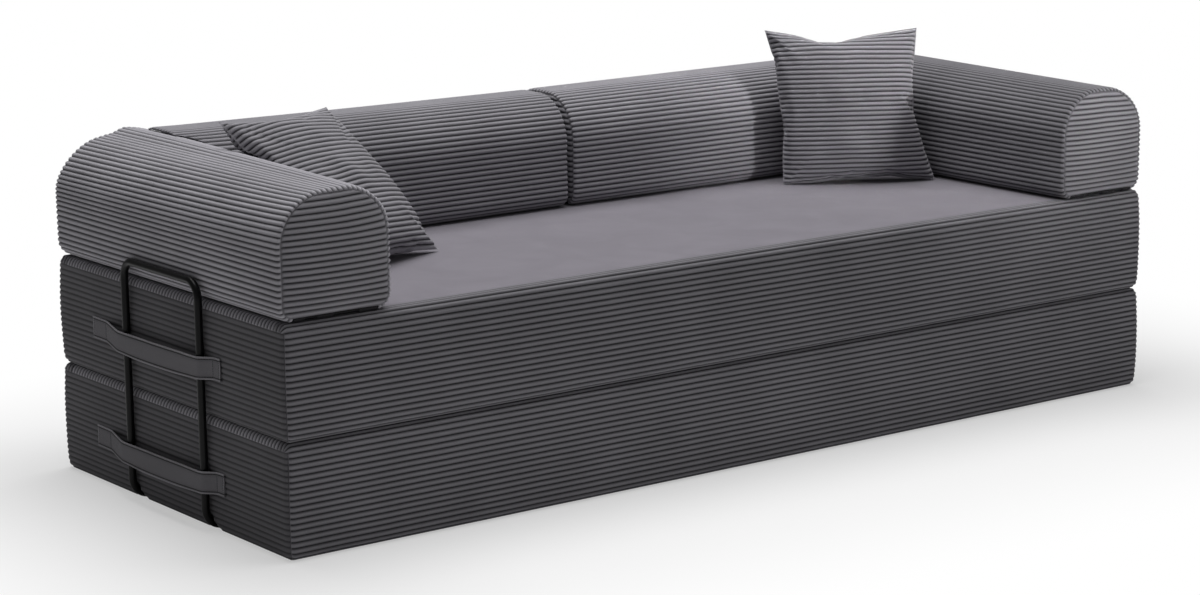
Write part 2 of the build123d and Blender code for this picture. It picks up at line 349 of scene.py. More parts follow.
@dataclass
class Cut:
    """One cut of cloth, laid out as a grid of points whose rows run across its ribs.

    Attributes:
        points: Rows by columns of positions in millimetres.
        normals: The outward direction at each point.
        ribs: Each row's place in ribs, or None for a smooth cloth.
        fade: How much of the rib height each point keeps.
        tuck: How far each point is pulled in, in millimetres.
        finish: Which of the piece's materials it takes.
        nap: Painted light and shade over the whole cut, as a factor on its colour.
        shade: Painted light and shade for the colour, used where it isn't the shape's rib height.
    """

    points: np.ndarray
    normals: np.ndarray
    ribs: np.ndarray | None = None
    fade: np.ndarray | None = None
    tuck: np.ndarray | None = None
    finish: int = 0
    nap: float = 1.0
    shade: np.ndarray | None = None

    def relief(self) -> np.ndarray:
        """Press the ribs' shape out of the cut.

        Returns:
            Rib height at each point, from 0 in a groove to 1 on a crown.
        """
        rows, columns = self.points.shape[:2]
        if self.ribs is None:
            return np.ones((rows, columns))
        across = np.sin(np.pi * np.mod(self.ribs, 1.0)) ** RIB_ROUND
        across[np.isclose(np.mod(self.ribs, 1.0), 0)] = 0
        height = np.repeat(across[:, None], columns, axis=1)
        return 1 - (1 - height) * (1.0 if self.fade is None else self.fade)

    def shaped(self) -> np.ndarray:
        """The grid with its ribs and tucks pressed in."""
        depth = (1 - self.relief()) * RIB_DEPTH + (0 if self.tuck is None else self.tuck)
        return self.points - self.normals * depth[..., None]

    def tone(self) -> np.ndarray:
        """Work out how bright the colour is.

        Returns:
            Rib height at each point, darkened with painted shade where seams and beds pull the
            cloth in, or the cut's own painted light and shade.
        """
        if self.shade is not None:
            return self.shade
        if self.tuck is None:
            return self.relief()
        return self.relief() * (1 - SEAM_PAINTED_SHADE * np.clip(self.tuck / SEAM_TUCK, 0, 1))

    def faces(self, first: int) -> np.ndarray:
        """Join neighbouring points.

        Args:
            first: The number of the cut's first point in its mesh.

        Returns:
            Quads of point numbers, turned so that they face outward.
        """
        rows, columns = self.points.shape[:2]
        quads = grid_faces(first + np.arange(rows * columns).reshape(rows, columns))
        r, c = rows // 2, columns // 2
        here = self.points[r, c]
        turn = np.cross(self.points[r, c - 1] - here, self.points[r - 1, c] - here)
        return quads[:, ::-1] if np.dot(turn, self.normals[r, c]) < 0 else quads

    def relax(self, trial: ClothTrial, bulge: float, dent: float, seed: float) -> None:
        """Let the cloth settle on its foam between its seams, within small limits.

        Args:
            trial: The simulation to run.
            bulge: The furthest that it may swell out, in millimetres.
            dent: The furthest that it may sink in, in millimetres.
            seed: Shifts the first unevenness, so that two cuts differ.
        """
        counts = self.points.shape[:2]
        fewest, most = trial.grid
        picked = [
            np.unique(np.round(np.linspace(0, n - 1, max(fewest, min(most, n // step)))))
            for n, step in zip(counts, (2 * len(RIB_SAMPLES), 1))
        ]
        at = np.ix_(*(places.astype(int) for places in picked))
        start, out = self.points[at], self.normals[at]
        index = np.arange(start[..., 0].size).reshape(start.shape[:2])
        pins = np.unique(np.concatenate([index[0], index[-1], index[:, 0], index[:, -1]]))
        faces = grid_faces(index)
        middle = start.shape[0] // 2, start.shape[1] // 2
        steps = [start[middle[0] + i, middle[1] + j] - start[middle] for i, j in ((0, 1), (1, 0))]
        if np.dot(np.cross(*steps), out[middle]) < 0:
            faces = faces[:, ::-1]
        uneven = start + out * wander(start, trial.hump, seed)[..., None]
        settled = trial.settle(uneven.reshape(-1, 3), faces, pins).reshape(start.shape)
        lift = np.sum((settled - start) * out, -1, keepdims=True)
        lift = np.where(lift > 0, bulge * np.tanh(lift / bulge), dent * np.tanh(lift / dent))
        lift *= np.where(np.abs(out[..., 2:]) > trial.level, 0.0, 1.0)
        fine = [np.interp(np.arange(n), p, np.arange(len(p))) for n, p in zip(counts, picked)]
        self.points = self.points + self.normals * refine(lift, *fine)

    def cloth_places(self) -> np.ndarray:
        """Lay the cut out flat, for threads and tufts that follow the cloth.

        Returns:
            Where each point lies along the ribs and across them, in metres.
        """
        along = walked(self.points, 1)
        across = walked(self.points, 0) if self.ribs is None else self.ribs[:, None] * RIB_PITCH
        return spread(along, across, 0.0) * MM


def sew(name: str, cuts: list[Cut], finishes: list[bpy.types.Material]) -> bpy.types.Object:
    """Join cuts of cloth into one mesh object.

    Args:
        name: The piece's name.
        cuts: The cuts, each with its own grid.
        finishes: The materials that the cuts number.

    Returns:
        The new object, with smooth faces and the attributes "rib" (rib height with painted light
        and shade), "nap" (each cut's painted light and shade) and "cloth".
    """
    sizes = [cut.points[..., 0].size for cut in cuts]
    places = np.concatenate([cut.shaped().reshape(-1, 3) for cut in cuts]) * MM
    quads = [cut.faces(first) for cut, first in zip(cuts, np.cumsum([0] + sizes))]
    numbers = np.repeat([cut.finish for cut in cuts], [len(part) for part in quads])
    mesh = bpy.data.meshes.new(name)
    mesh.from_pydata(places.tolist(), [], np.concatenate(quads).tolist())
    mesh.polygons.foreach_set("material_index", numbers.astype(np.int32))
    mesh.polygons.foreach_set("use_smooth", np.ones(len(mesh.polygons), bool))
    ribs = np.concatenate([cut.tone().ravel() for cut in cuts])
    painted_tones = np.repeat([cut.nap for cut in cuts], sizes)
    cloth = np.concatenate([cut.cloth_places().ravel() for cut in cuts])
    # nap carries each cut's painted light and shade into the mesh
    written = (
        ("rib", "FLOAT", "value", ribs),
        ("nap", "FLOAT", "value", painted_tones),
        ("cloth", "FLOAT_VECTOR", "vector", cloth),
    )
    for label, kind, part, values in written:
        attribute = mesh.attributes.new(label, kind, "POINT")
        attribute.data.foreach_set(part, values.astype(np.float32))
    for finish in finishes:
        mesh.materials.append(finish)
    mesh.update()
    return put(name, mesh)


def sweep(
    path: np.ndarray, side: np.ndarray, up: np.ndarray, profile: np.ndarray
) -> tuple[np.ndarray, np.ndarray]:
    """Carry a flat profile along a path.

    Args:
        path: Points of the path, in millimetres.
        side: The profile's first direction at each point.
        up: The profile's second direction at each point.
        profile: Points of the closed profile, as pairs.

    Returns:
        The grid of points and the outward directions, rows along the path.
    """
    ring = np.append(profile, profile[:1], axis=0)
    points = path[:, None] + ring[None, :, :1] * side[:, None] + ring[None, :, 1:] * up[:, None]
    edge = np.roll(profile, -1, axis=0) - np.roll(profile, 1, axis=0)
    out = unit(np.stack([edge[:, 1], -edge[:, 0]], -1))
    out = np.append(out, out[:1], axis=0)
    normals = out[None, :, :1] * side[:, None] + out[None, :, 1:] * up[:, None]
    return points, normals


# --- Finishes ---

TIMES = {"operation": "MULTIPLY"}  # a Math node's settings
TINT = {"data_type": "RGBA", "blend_type": "MULTIPLY", "Factor": 1.0}  # a Mix node's settings
Feeds = dict[str, bpy.types.NodeSocket | float]  # a shader's inputs, each with what it takes


@dataclass(frozen=True)
class Finish:
    """What all finishes share: a name, and a material whose shader is fed by a few nodes."""

    name: str

    def feeds(self, tree: bpy.types.NodeTree) -> Feeds:
        """What the shader's inputs take, which each finish says for itself."""
        raise NotImplementedError

    def material(self) -> bpy.types.Material:
        """Build the finish's material.

        Returns:
            The material, with every feed set or linked.
        """
        made = bpy.data.materials.new(self.name)
        made.use_nodes = True
        shader = made.node_tree.nodes["Principled BSDF"]
        for socket, feed in self.feeds(made.node_tree).items():
            if isinstance(feed, bpy.types.NodeSocket):
                made.node_tree.links.new(feed, shader.inputs[socket])
            else:
                shader.inputs[socket].default_value = feed
        return made


@dataclass(frozen=True)
class Corduroy(Finish):
    """Wide polyester corduroy, woven and cut: deep matt ribs with dark grooves between."""

    name: str = "polyester_corduroy_woven_and_cut"
    crown_hex: str = "#9b999f"  # the cut pile on a rib's crown
    groove_hex: str = "#242326"  # the ground weave down in a groove, deepened with painted shade of the groove's depth
    tuft_mm: float = 2.2  # real tufts are under 1 mm, drawn coarser so that they show
    brushed_mm: float = 140.0  # patches where the pile was stroked another way

    def feeds(self, tree: bpy.types.NodeTree) -> Feeds:
        """Tint the ribs by their height, with painted shade down in the grooves, by their tufts
        and by each cut's painted light and shade.

        Args:
            tree: The material's node tree.

        Returns:
            What the shader's inputs take.
        """
        add = partial(add_node, tree)
        # rib carries rib height with painted shade in the seams; nap carries each cut's painted
        # light and shade
        names = ("rib", "cloth", "nap")
        rib, lay, nap = (add("ShaderNodeAttribute", {"attribute_name": name}) for name in names)
        place = add("ShaderNodeTexCoord")
        # Groove to crown: the ground weave's own colour plus painted shade down in the grooves
        ramp = add("ShaderNodeValToRGB", links={"Fac": rib.outputs["Fac"]})
        for stop, (at, colour) in enumerate(((0.03, self.groove_hex), (0.9, self.crown_hex))):
            ramp.color_ramp.elements[stop].color = linear(colour)
            ramp.color_ramp.elements[stop].position = at
        tufts = add(
            "ShaderNodeTexNoise",
            {"Scale": 1 / (self.tuft_mm * MM), "Detail": 3.0, "Roughness": 0.6},
            {"Vector": lay.outputs["Vector"]},
        )
        brushed = add(
            "ShaderNodeTexNoise",
            {"Scale": 1 / (self.brushed_mm * MM), "Detail": 2.0},
            {"Vector": place.outputs["Object"]},
        )
        speckle = add(
            "ShaderNodeMapRange", {"To Min": 0.82, "To Max": 1.18}, {"Value": tufts.outputs["Fac"]}
        )
        patches = add(
            "ShaderNodeMapRange",
            {"From Min": 0.3, "From Max": 0.7, "To Min": 0.93, "To Max": 1.07},
            {"Value": brushed.outputs["Fac"]},
        )
        both = {0: speckle.outputs["Result"], 1: patches.outputs["Result"]}
        shade = add("ShaderNodeMath", TIMES, both)
        # Each cut's painted light and shade multiplies the colour here
        lean = add("ShaderNodeMath", TIMES, {0: shade.outputs["Value"], 1: nap.outputs["Fac"]})
        colour = add("ShaderNodeMix", TINT, {6: ramp.outputs["Color"], 7: lean.outputs["Value"]})
        pile = {"Strength": 0.5, "Distance": 0.0009}
        bump = add("ShaderNodeBump", pile, {"Height": tufts.outputs["Fac"]})
        return {
            "Base Color": colour.outputs[2],
            "Normal": bump.outputs["Normal"],
            "Roughness": 0.95,
            "Specular IOR Level": 0.2,
            "Sheen Weight": 0.18,
            "Sheen Roughness": 0.5,
        }


@dataclass(frozen=True)
class NappedCloth(Finish):
    """Short-napped microfibre suede, brushed: smooth, matt and faintly clouded."""

    colour_hex: str
    nap_mm: float = 1.6  # real nap is finer, drawn coarser so that it shows
    cloud_mm: float = 90.0  # where hands have brushed the nap

    def feeds(self, tree: bpy.types.NodeTree) -> Feeds:
        """Cloud one colour with its nap and with the strokes of hands.

        Args:
            tree: The material's node tree.

        Returns:
            What the shader's inputs take.
        """
        add = partial(add_node, tree)
        place = {"Vector": add("ShaderNodeTexCoord").outputs["Object"]}
        fine = {"Scale": 1 / (self.nap_mm * MM), "Detail": 4.0, "Roughness": 0.65}
        nap = add("ShaderNodeTexNoise", fine, place)
        broad = {"Scale": 1 / (self.cloud_mm * MM), "Detail": 3.0, "Distortion": 0.6}
        clouds = add("ShaderNodeTexNoise", broad, place)
        grain = add(
            "ShaderNodeMapRange", {"To Min": 0.9, "To Max": 1.1}, {"Value": nap.outputs["Fac"]}
        )
        drift = add(
            "ShaderNodeMapRange",
            {"From Min": 0.3, "From Max": 0.7, "To Min": 0.95, "To Max": 1.05},
            {"Value": clouds.outputs["Fac"]},
        )
        both = {0: grain.outputs["Result"], 1: drift.outputs["Result"]}
        shade = add("ShaderNodeMath", TIMES, both)
        colour = add(
            "ShaderNodeMix", {**TINT, 6: linear(self.colour_hex)}, {7: shade.outputs["Value"]}
        )
        soft = {"Strength": 0.25, "Distance": 0.0004}
        bump = add("ShaderNodeBump", soft, {"Height": nap.outputs["Fac"]})
        return {
            "Base Color": colour.outputs[2],
            "Normal": bump.outputs["Normal"],
            "Roughness": 0.9,
            "Specular IOR Level": 0.2,
            "Sheen Weight": 0.12,
            "Sheen Roughness": 0.45,
        }


@dataclass(frozen=True)
class WovenCloth(Finish):
    """Flat woven cloth, such as a strap, a zip's tape or a lining: threads over and under."""

    colour_hex: str
    gap_hex: str
    thread_mm: float
    weave: Weave = Weave.PLAIN
    roughness: float = 0.85
    cut: bool = True  # sewn from cuts that know their threads, or one of the frame's own solids

    def waves(self, tree: bpy.types.NodeTree) -> list[bpy.types.Node]:
        """Draw the threads of both directions.

        Args:
            tree: The material's node tree.

        Returns:
            The two wave textures.
        """
        add = partial(add_node, tree)
        if self.cut:
            lay = add("ShaderNodeAttribute", {"attribute_name": "cloth"}).outputs["Vector"]
            turn = math.radians(45 if self.weave is Weave.TWILL else 0)
            turned = add("ShaderNodeMapping", {"Rotation": (0.0, 0.0, turn)}, {"Vector": lay})
            places = [("X", turned.outputs["Vector"]), ("Y", turned.outputs["Vector"])]
        else:
            lay = add("ShaderNodeTexCoord").outputs["Object"]
            turned = add("ShaderNodeMapping", {"Scale": (-1.0, 1.0, 1.0)}, {"Vector": lay})
            places = [("DIAGONAL", lay), ("DIAGONAL", turned.outputs["Vector"])]
        scale = math.pi / (10 * self.thread_mm * MM)  # a scale of 1 draws 10 / pi bands a metre
        return [
            add("ShaderNodeTexWave", {"bands_direction": way, "Scale": scale}, {"Vector": place})
            for way, place in places
        ]

    def feeds(self, tree: bpy.types.NodeTree) -> Feeds:
        """Raise the threads and darken the gaps between them; on sewn cuts, add painted shade in
        seams, beds and stitched grooves, and a strap's painted highlights.

        Args:
            tree: The material's node tree.

        Returns:
            What the shader's inputs take.
        """
        add = partial(add_node, tree)
        waves = self.waves(tree)
        over = add("ShaderNodeMath", TIMES, {i: waves[i].outputs["Fac"] for i in (0, 1)})
        ramp = add("ShaderNodeValToRGB", links={"Fac": over.outputs["Value"]})
        ramp.color_ramp.elements[0].color = linear(self.gap_hex)
        ramp.color_ramp.elements[1].color = linear(self.colour_hex)
        ramp.color_ramp.elements[1].position = 0.45
        raised = {"Strength": 0.6, "Distance": self.thread_mm * MM * 0.25}
        bump = add("ShaderNodeBump", raised, {"Height": over.outputs["Value"]})
        colour = ramp.outputs["Color"]
        # The rib attribute paints shade into seams, beds and stitched grooves, and highlights onto
        # a strap's hems and ends
        if self.cut:
            rib = add("ShaderNodeAttribute", {"attribute_name": "rib"})
            depth = add("ShaderNodeMapRange", {"To Min": 0.15}, {"Value": rib.outputs["Fac"]})
            sunk = add("ShaderNodeMix", TINT, {6: colour, 7: depth.outputs["Result"]})
            colour = sunk.outputs[2]
        return {
            "Base Color": colour,
            "Normal": bump.outputs["Normal"],
            "Roughness": self.roughness,
            "Specular IOR Level": 0.25,
        }


@dataclass(frozen=True)
class HardFinish(Finish):
    """A coated metal or moulded plastic: a fine texture under one colour."""

    colour_hex: str
    roughness: float
    metallic: float
    grain_mm: float  # size of the orange peel or mould texture
    grain_depth: float = 0.3
    specular: float = 0.5
    mottle: tuple[float, float] = (0.8, 1.25)  # the grain's darkest and lightest tone
    gloss_drift: float = 0.05

    def feeds(self, tree: bpy.types.NodeTree) -> Feeds:
        """Vary the colour, the gloss and the surface with one fine grain.

        Args:
            tree: The material's node tree.

        Returns:
            What the shader's inputs take.
        """
        add = partial(add_node, tree)
        place = add("ShaderNodeTexCoord")
        peel = add(
            "ShaderNodeTexNoise",
            {"Scale": 1 / (self.grain_mm * MM), "Detail": 2.0},
            {"Vector": place.outputs["Object"]},
        ).outputs["Fac"]
        tones = [tuple(c * s for c in linear(self.colour_hex)[:3]) + (1.0,) for s in self.mottle]
        mixed = {"data_type": "RGBA", 6: tones[0], 7: tones[1]}
        colour = add("ShaderNodeMix", mixed, {"Factor": peel})
        least, most = self.roughness - self.gloss_drift, self.roughness + self.gloss_drift
        gloss = add("ShaderNodeMapRange", {"To Min": least, "To Max": most}, {"Value": peel})
        depth = {"Strength": self.grain_depth, "Distance": self.grain_mm * MM * 0.1}
        bump = add("ShaderNodeBump", depth, {"Height": peel})
        return {
            "Base Color": colour.outputs[2],
            "Roughness": gloss.outputs["Result"],
            "Normal": bump.outputs["Normal"],
            "Metallic": self.metallic,
            "Specular IOR Level": self.specular,
        }


class Finishes:
    """Every material of the sofa, each built once."""

    def __init__(self) -> None:
        """Build the materials."""
        self.corduroy = Corduroy().material()
        # Brushed microfibre suede catches the light evenly, so the seat looks smoother and paler
        self.suede = NappedCloth("microfibre_suede_brushed", "#86828a").material()
        # Plain woven lining is darker and thinner than the pile cloths, and shows only from below
        self.lining = WovenCloth(
            "polyester_lining_plain_woven", "#3a393c", "#1c1b1d", thread_mm=1.6
        ).material()
        # Cotton canvas straps look flat and dry, with both edges folded over and stitched
        self.canvas = WovenCloth(
            "cotton_canvas_plain_woven", "#b6b4b9", "#6d6b70", thread_mm=1.5
        ).material()
        # Sewing thread is smooth and twisted, a little darker than the cloth it holds
        self.thread = WovenCloth(
            "polyester_thread_twisted", "#1f1e20", "#121113",
            thread_mm=0.5, weave=Weave.TWILL, roughness=0.6,
        ).material()
        # Zip tape is a fine twill, dull black
        self.tape = WovenCloth(
            "polyester_zip_tape_twill_woven", "#1d1d1f", "#0c0c0d",
            thread_mm=1.2, weave=Weave.TWILL, cut=False,
        ).material()
        # Hook tape is stiff nylon with rows of tiny hooks, black with a slight glint
        self.hook = WovenCloth(
            "nylon_hook_tape_woven_and_cut", "#1b1b1d", "#060607",
            thread_mm=2.0, roughness=0.55, cut=False,
        ).material()
        # Powder coat on steel gives the tube a soft, broad highlight over near black
        self.powder = HardFinish(
            "steel_tube_powder_coated", "#070708",
            roughness=0.35, metallic=0.0, grain_mm=1.2, specular=0.25,
        ).material()
        # Moulded nylon of the zips and plugs has a duller, finer grain
        self.nylon = HardFinish(
            "nylon_injection_moulded", "#141416",
            roughness=0.5, metallic=0.0, grain_mm=0.8, grain_depth=0.15,
        ).material()


# --- Soft pieces ---

# Cloth over firm foam: hardly any slack, so it settles into long, low swells
FOAM_TRIAL = ClothTrial(pressure=0.5, slack=0.003, frames=14, bending=2.0)
# Cloth over loose fibre: a bag that is blown up until its sides draw in and pucker
FIBRE_TRIAL = ClothTrial(pressure=1.6, frames=20, bending=0.3)


@dataclass
class Pad:
    """One foam pad: ribbed wrap, ribbed end panels, a smooth top and a lined underside."""

    name: str
    body: str
    bottom: float
    finishes: Finishes
    length: float = 2000.0
    depth: float = 800.0
    height: float = 200.0
    crown: float = 4.0  # how far the sides swell out
    border: float = 38.0  # from the pad's side to the seam round its smooth top
    edge: tuple[float, float, float] = (11.0, 14.0, 17.0)  # how round the edges are, by axis
    lap: float = math.radians(10)  # how far an end panel turns in over the top
    seam_width: float = 2.2
    seam_flat: float = 0.8  # how much of the rib height a seam presses out
    corner_tuck: float = 1.5  # the seams round the end panels lie shallower
    legs: tuple[float, ...] = ()
    leg_x: float = 1008.0
    tube_radius: float = 7.0
    foot_radius: float = 32.0
    foot_reach: float = 302.0
    foot_spare: float = 1.0  # the pad is dented by this much more than the tube
    foot_ease: float = 12.0  # how far the dent runs out beside the tube
    zip_half: tuple[float, float] = (850.0, 12.5)  # half the zip's bed, along and across
    zip_depth: float = 2.2
    # Painted shade on the front and back, as a factor on their colour
    wrap_painted_shade: float = 0.69
    edge_painted_light: float = 1.1  # painted light on the top edges, where the wrap's ribs run over the ends
    # Painted shade on the end panels, as a factor on their colour
    end_painted_shade: float = 0.36
    end_ribs: float = 0.7  # the end panels are stretched, so their ribs stand lower

    def __post_init__(self) -> None:
        """Work out where the flat parts of every face end."""
        self.flat_x = self.length / 2 - self.crown - self.edge[0]
        self.flat_y = self.depth / 2 - self.crown - self.edge[1]
        self.seam_x = self.length / 2 - self.border
        self.seam_y = self.depth / 2 - self.border
        self.low_z, self.high_z = self.edge[2], self.height - self.edge[2]
        self.face = self.high_z - self.low_z
        self.toe = self.leg_x - self.foot_reach

    def place(self, centre: np.ndarray, out: np.ndarray) -> tuple[np.ndarray, np.ndarray]:
        """Put points on the rounded, swollen block.

        Args:
            centre: Points of the inner block that the edges are rounded about.
            out: The unit direction from each to the surface.

        Returns:
            The surface points and their outward directions.
        """
        radii = np.array(self.edge)
        points = centre + out * radii
        rise = np.clip((points[..., 2] - self.height / 2) / (self.height / 2), -1, 1)
        points[..., :2] += (self.crown * (1 - rise**2))[..., None] * out[..., :2]
        points[..., 2] += self.bottom
        return points, unit(out / radii)

    def edge_run(self, side: int) -> float:
        """How much cloth goes round a level edge: the end's (0) or the front's and back's (1)."""
        return QUARTER * math.sqrt((self.edge[side] ** 2 + self.edge[2] ** 2) / 2)

    def seam_angle(self, tilt: np.ndarray) -> np.ndarray:
        """How far the wrap turns round the end before its seam.

        Args:
            tilt: Each row's direction, from level at 0 to straight up.

        Returns:
            The turn at each row, in radians.
        """
        round_corner = np.arctan(np.cos(tilt))
        drop = math.sin(self.lap)
        over_top = np.arccos(np.minimum(1.0, drop / np.maximum(np.sin(tilt), drop)))
        return np.maximum(round_corner, np.where(tilt > 0, over_top, 0))

    def turned(
        self, tilt: np.ndarray, y: np.ndarray, z: np.ndarray, xs: np.ndarray
    ) -> tuple[np.ndarray, np.ndarray]:
        """Points of the wrap, rolled round both ends.

        Args:
            tilt: Each row's direction, from level at 0 to straight up.
            y: Each row's inner Y.
            z: Each row's inner Z.
            xs: Column places along X, where shares past the flat count the roll.

        Returns:
            The points and the outward directions.
        """
        share = np.maximum(np.abs(xs) - 1, 0) * np.sign(xs)
        turn, tilt = share * self.seam_angle(tilt)[:, None], tilt[:, None]
        level = np.cos(turn)
        out = spread(np.sin(turn), -np.cos(tilt) * level, np.sin(tilt) * level)
        return self.place(spread(np.clip(xs, -1, 1) * self.flat_x, y[:, None], z[:, None]), out)

    def columns(self) -> np.ndarray:
        """Choose places along the wrap, close together at its seams and round its ends.

        Returns:
            Shares of the flat run, with the shares of each end's roll past 1.
        """
        panel = self.seam_x / self.flat_x
        flat = ladder([-1, -panel, panel, 1], 40 / self.flat_x)
        near = np.array([panel - 6 / self.flat_x, panel - 2.5 / self.flat_x])
        roll = 1 + np.array([0.15, 0.3, 0.45, 0.6, 0.74, 0.86, 0.94, 0.975, 1.0])
        return np.unique(np.round(np.concatenate([-roll, flat, near, -near, roll]), 6))

    def wrap_side(self, back: bool) -> Cut:
        """Lay the ribbed wrap over the front or the back, from the top seam to the underside.

        Args:
            back: Whether it is the back, which holds the zip.

        Returns:
            The cut.
        """
        top, roll = self.flat_y - self.seam_y, self.edge_run(1)
        stops = np.cumsum([0, top, roll, self.face, roll])
        count = round(float(stops[-1]) / RIB_PITCH)
        ribs = rib_rows(count)
        walk = ribs / count * stops[-1]
        tilt = np.interp(walk, stops, [QUARTER, QUARTER, 0, 0, -QUARTER])
        y = -np.interp(walk, stops, [self.seam_y] + [self.flat_y] * 4)
        z = np.interp(walk, stops, [self.high_z] * 3 + [self.low_z] * 2)
        xs = self.columns()
        points, normals = self.turned(tilt, y, z, xs)
        on_panel = np.abs(np.clip(xs, -1, 1)) * self.flat_x < self.seam_x + 0.01
        seam = stitched(walk, self.seam_width)[:, None] * on_panel
        end = smoothstep(1.88, 2.0, np.abs(xs)) ** 2
        tuck = np.maximum(SEAM_TUCK * seam, self.corner_tuck * end)
        fade = 1 - np.maximum(seam * self.seam_flat, end)
        if back:
            points, normals = mirrored(points, normals, axis=1)
            bed = self.zip_bed(points)
            # The zip's bed also gets painted shade, through its tuck
            fade, tuck = fade * (1 - bed), tuck + self.zip_depth * bed
        cut = Cut(points, normals, ribs, fade, tuck, nap=self.wrap_painted_shade)
        cut.relax(FOAM_TRIAL, bulge=2.4, dent=2.4, seed=self.bottom + 3 * back)
        return cut

    def zip_bed(self, points: np.ndarray) -> np.ndarray:
        """Find where the back makes room for the zip.

        Args:
            points: Positions on the back.

        Returns:
            A share for each, from 0 away from the zip to 1 on its bed.
        """
        along, across = self.zip_half
        over = np.abs(points[..., 2] - self.bottom - self.height / 2)
        beside = 1 - smoothstep(across, across + 3, over)
        return beside * (1 - smoothstep(along, along + 6, np.abs(points[..., 0])))

    def wrap_end(self, end: End) -> Cut:
        """Lay the wrap's ribs over the top border at one end and down round its edge.

        Args:
            end: Which end.

        Returns:
            The cut.
        """
        count = round(2 * self.seam_y / RIB_PITCH)
        ribs = rib_rows(count)
        y = (ribs / count * 2 - 1) * self.seam_y
        xs = self.columns()
        xs = xs[xs >= self.seam_x / self.flat_x - 1e-5]
        full = np.ones_like(y)
        grids = self.turned(full * QUARTER, y, full * self.high_z, xs)
        seam = stitched(np.clip(xs, -1, 1) * self.flat_x - self.seam_x, self.seam_width)[None]
        low = smoothstep(1.92, 2.0, xs)[None] ** 2
        tuck = np.maximum(SEAM_TUCK * seam, self.corner_tuck * low)
        fade = 1 - np.maximum(seam * self.seam_flat, low)
        grids = mirrored(*grids) if end is End.LEFT else grids
        return Cut(*grids, ribs, fade, tuck, nap=self.edge_painted_light)

    def end_panel(self, end: End) -> Cut:
        """Lay an end panel, its ribs level, from the underside up to the rolled-over wrap.

        Args:
            end: Which end.

        Returns:
            The cut.
        """
        stops = np.cumsum([0, self.edge_run(0), self.face, self.edge[2] * self.lap])
        count = round(float(stops[-1]) / RIB_PITCH)
        ribs = rib_rows(count)
        walk = ribs / count * stops[-1]
        beta = np.interp(walk, stops, [-QUARTER, 0, 0, self.lap])[:, None]
        z = np.interp(walk, stops, [self.low_z] * 2 + [self.high_z] * 2)[:, None]
        flat = self.across_legs(30)
        shares = np.array([0.3, 0.55, 0.75, 0.88, 0.95, 1.0])
        y = np.pad(flat, len(shares), mode="edge")
        turn = np.concatenate([shares[::-1], np.zeros(len(flat)), -shares])
        alpha = turn * math.pi / 4
        out = spread(np.cos(alpha) * np.cos(beta), -np.sin(alpha) * np.cos(beta), np.sin(beta))
        grids = self.place(spread(self.flat_x, y, z), out)
        low = smoothstep(0.84, 1.0, np.abs(alpha) / (math.pi / 4)) ** 2
        pull = np.maximum(low, stitched(walk - stops[-1], 1.4)[:, None])
        grids = mirrored(*grids) if end is End.LEFT else grids
        kept = self.end_ribs * (1 - pull)
        cut = Cut(*grids, ribs, kept, self.corner_tuck * pull, nap=self.end_painted_shade)
        cut.relax(FOAM_TRIAL, bulge=0.4, dent=2.5, seed=self.bottom + end.value)
        self.press(cut)
        return cut

    def across_legs(self, pitch: float) -> np.ndarray:
        """Places from the front to the back, close together beside the bracket's legs."""
        near = {leg + side * step for leg in self.legs for step in LEG_STEPS for side in (-1, 1)}
        return ladder(sorted({-self.flat_y, self.flat_y} | near), pitch)

    def underside(self) -> Cut:
        """Lay the lined underside, flat on what it rests on.

        Returns:
            The cut.
        """
        toe, reach = self.toe, self.flat_x
        x = ladder([-reach, reach], 50)
        if self.legs:
            x = ladder([-reach, -toe - 10, -toe + 10, toe - 10, toe + 10, reach], 40)
            near = [x, ladder([toe - 10, toe + 10], 2.5), ladder([reach - 30, reach], 4)]
            x = np.unique([np.concatenate(near), -np.concatenate(near)])
        points = spread(x, self.across_legs(40)[:, None], self.bottom)
        cut = Cut(points, np.broadcast_to(-UP, points.shape), finish=1)
        self.press(cut)
        return cut

    def press(self, cut: Cut) -> None:
        """Dent a cut where the bracket's feet and bends push into the pad.

        Args:
            cut: The cut, whose points are moved.
        """
        points = cut.points
        x, z = np.abs(points[..., 0]), points[..., 2] - self.bottom
        bend_x, bend_z = self.leg_x - self.foot_radius, self.foot_radius + self.tube_radius
        wide = self.tube_radius + self.foot_spare
        for leg in self.legs:
            off = np.abs(points[..., 1] - leg)
            half = np.sqrt(np.maximum(wide**2 - off**2, 0))
            ease = 1 - smoothstep(wide, wide + self.foot_ease, off)
            ease *= smoothstep(self.toe - 8, self.toe - 2, x)
            over_foot = x <= bend_x
            lifted = z + (np.maximum(self.tube_radius + half, z) - z) * ease
            dx, dz = x - bend_x, bend_z - z
            reach, limit = np.hypot(dx, dz), self.foot_radius - half
            inside = (~over_foot) & (z < bend_z) & (reach > limit)
            scale = np.where(inside, 1 + (limit / np.maximum(reach, 1e-6) - 1) * ease, 1)
            z = np.where(over_foot, lifted, bend_z - dz * scale)
            x = np.where(over_foot, x, bend_x + dx * scale)
        points[..., 0] = np.sign(points[..., 0]) * x
        points[..., 2] = z + self.bottom

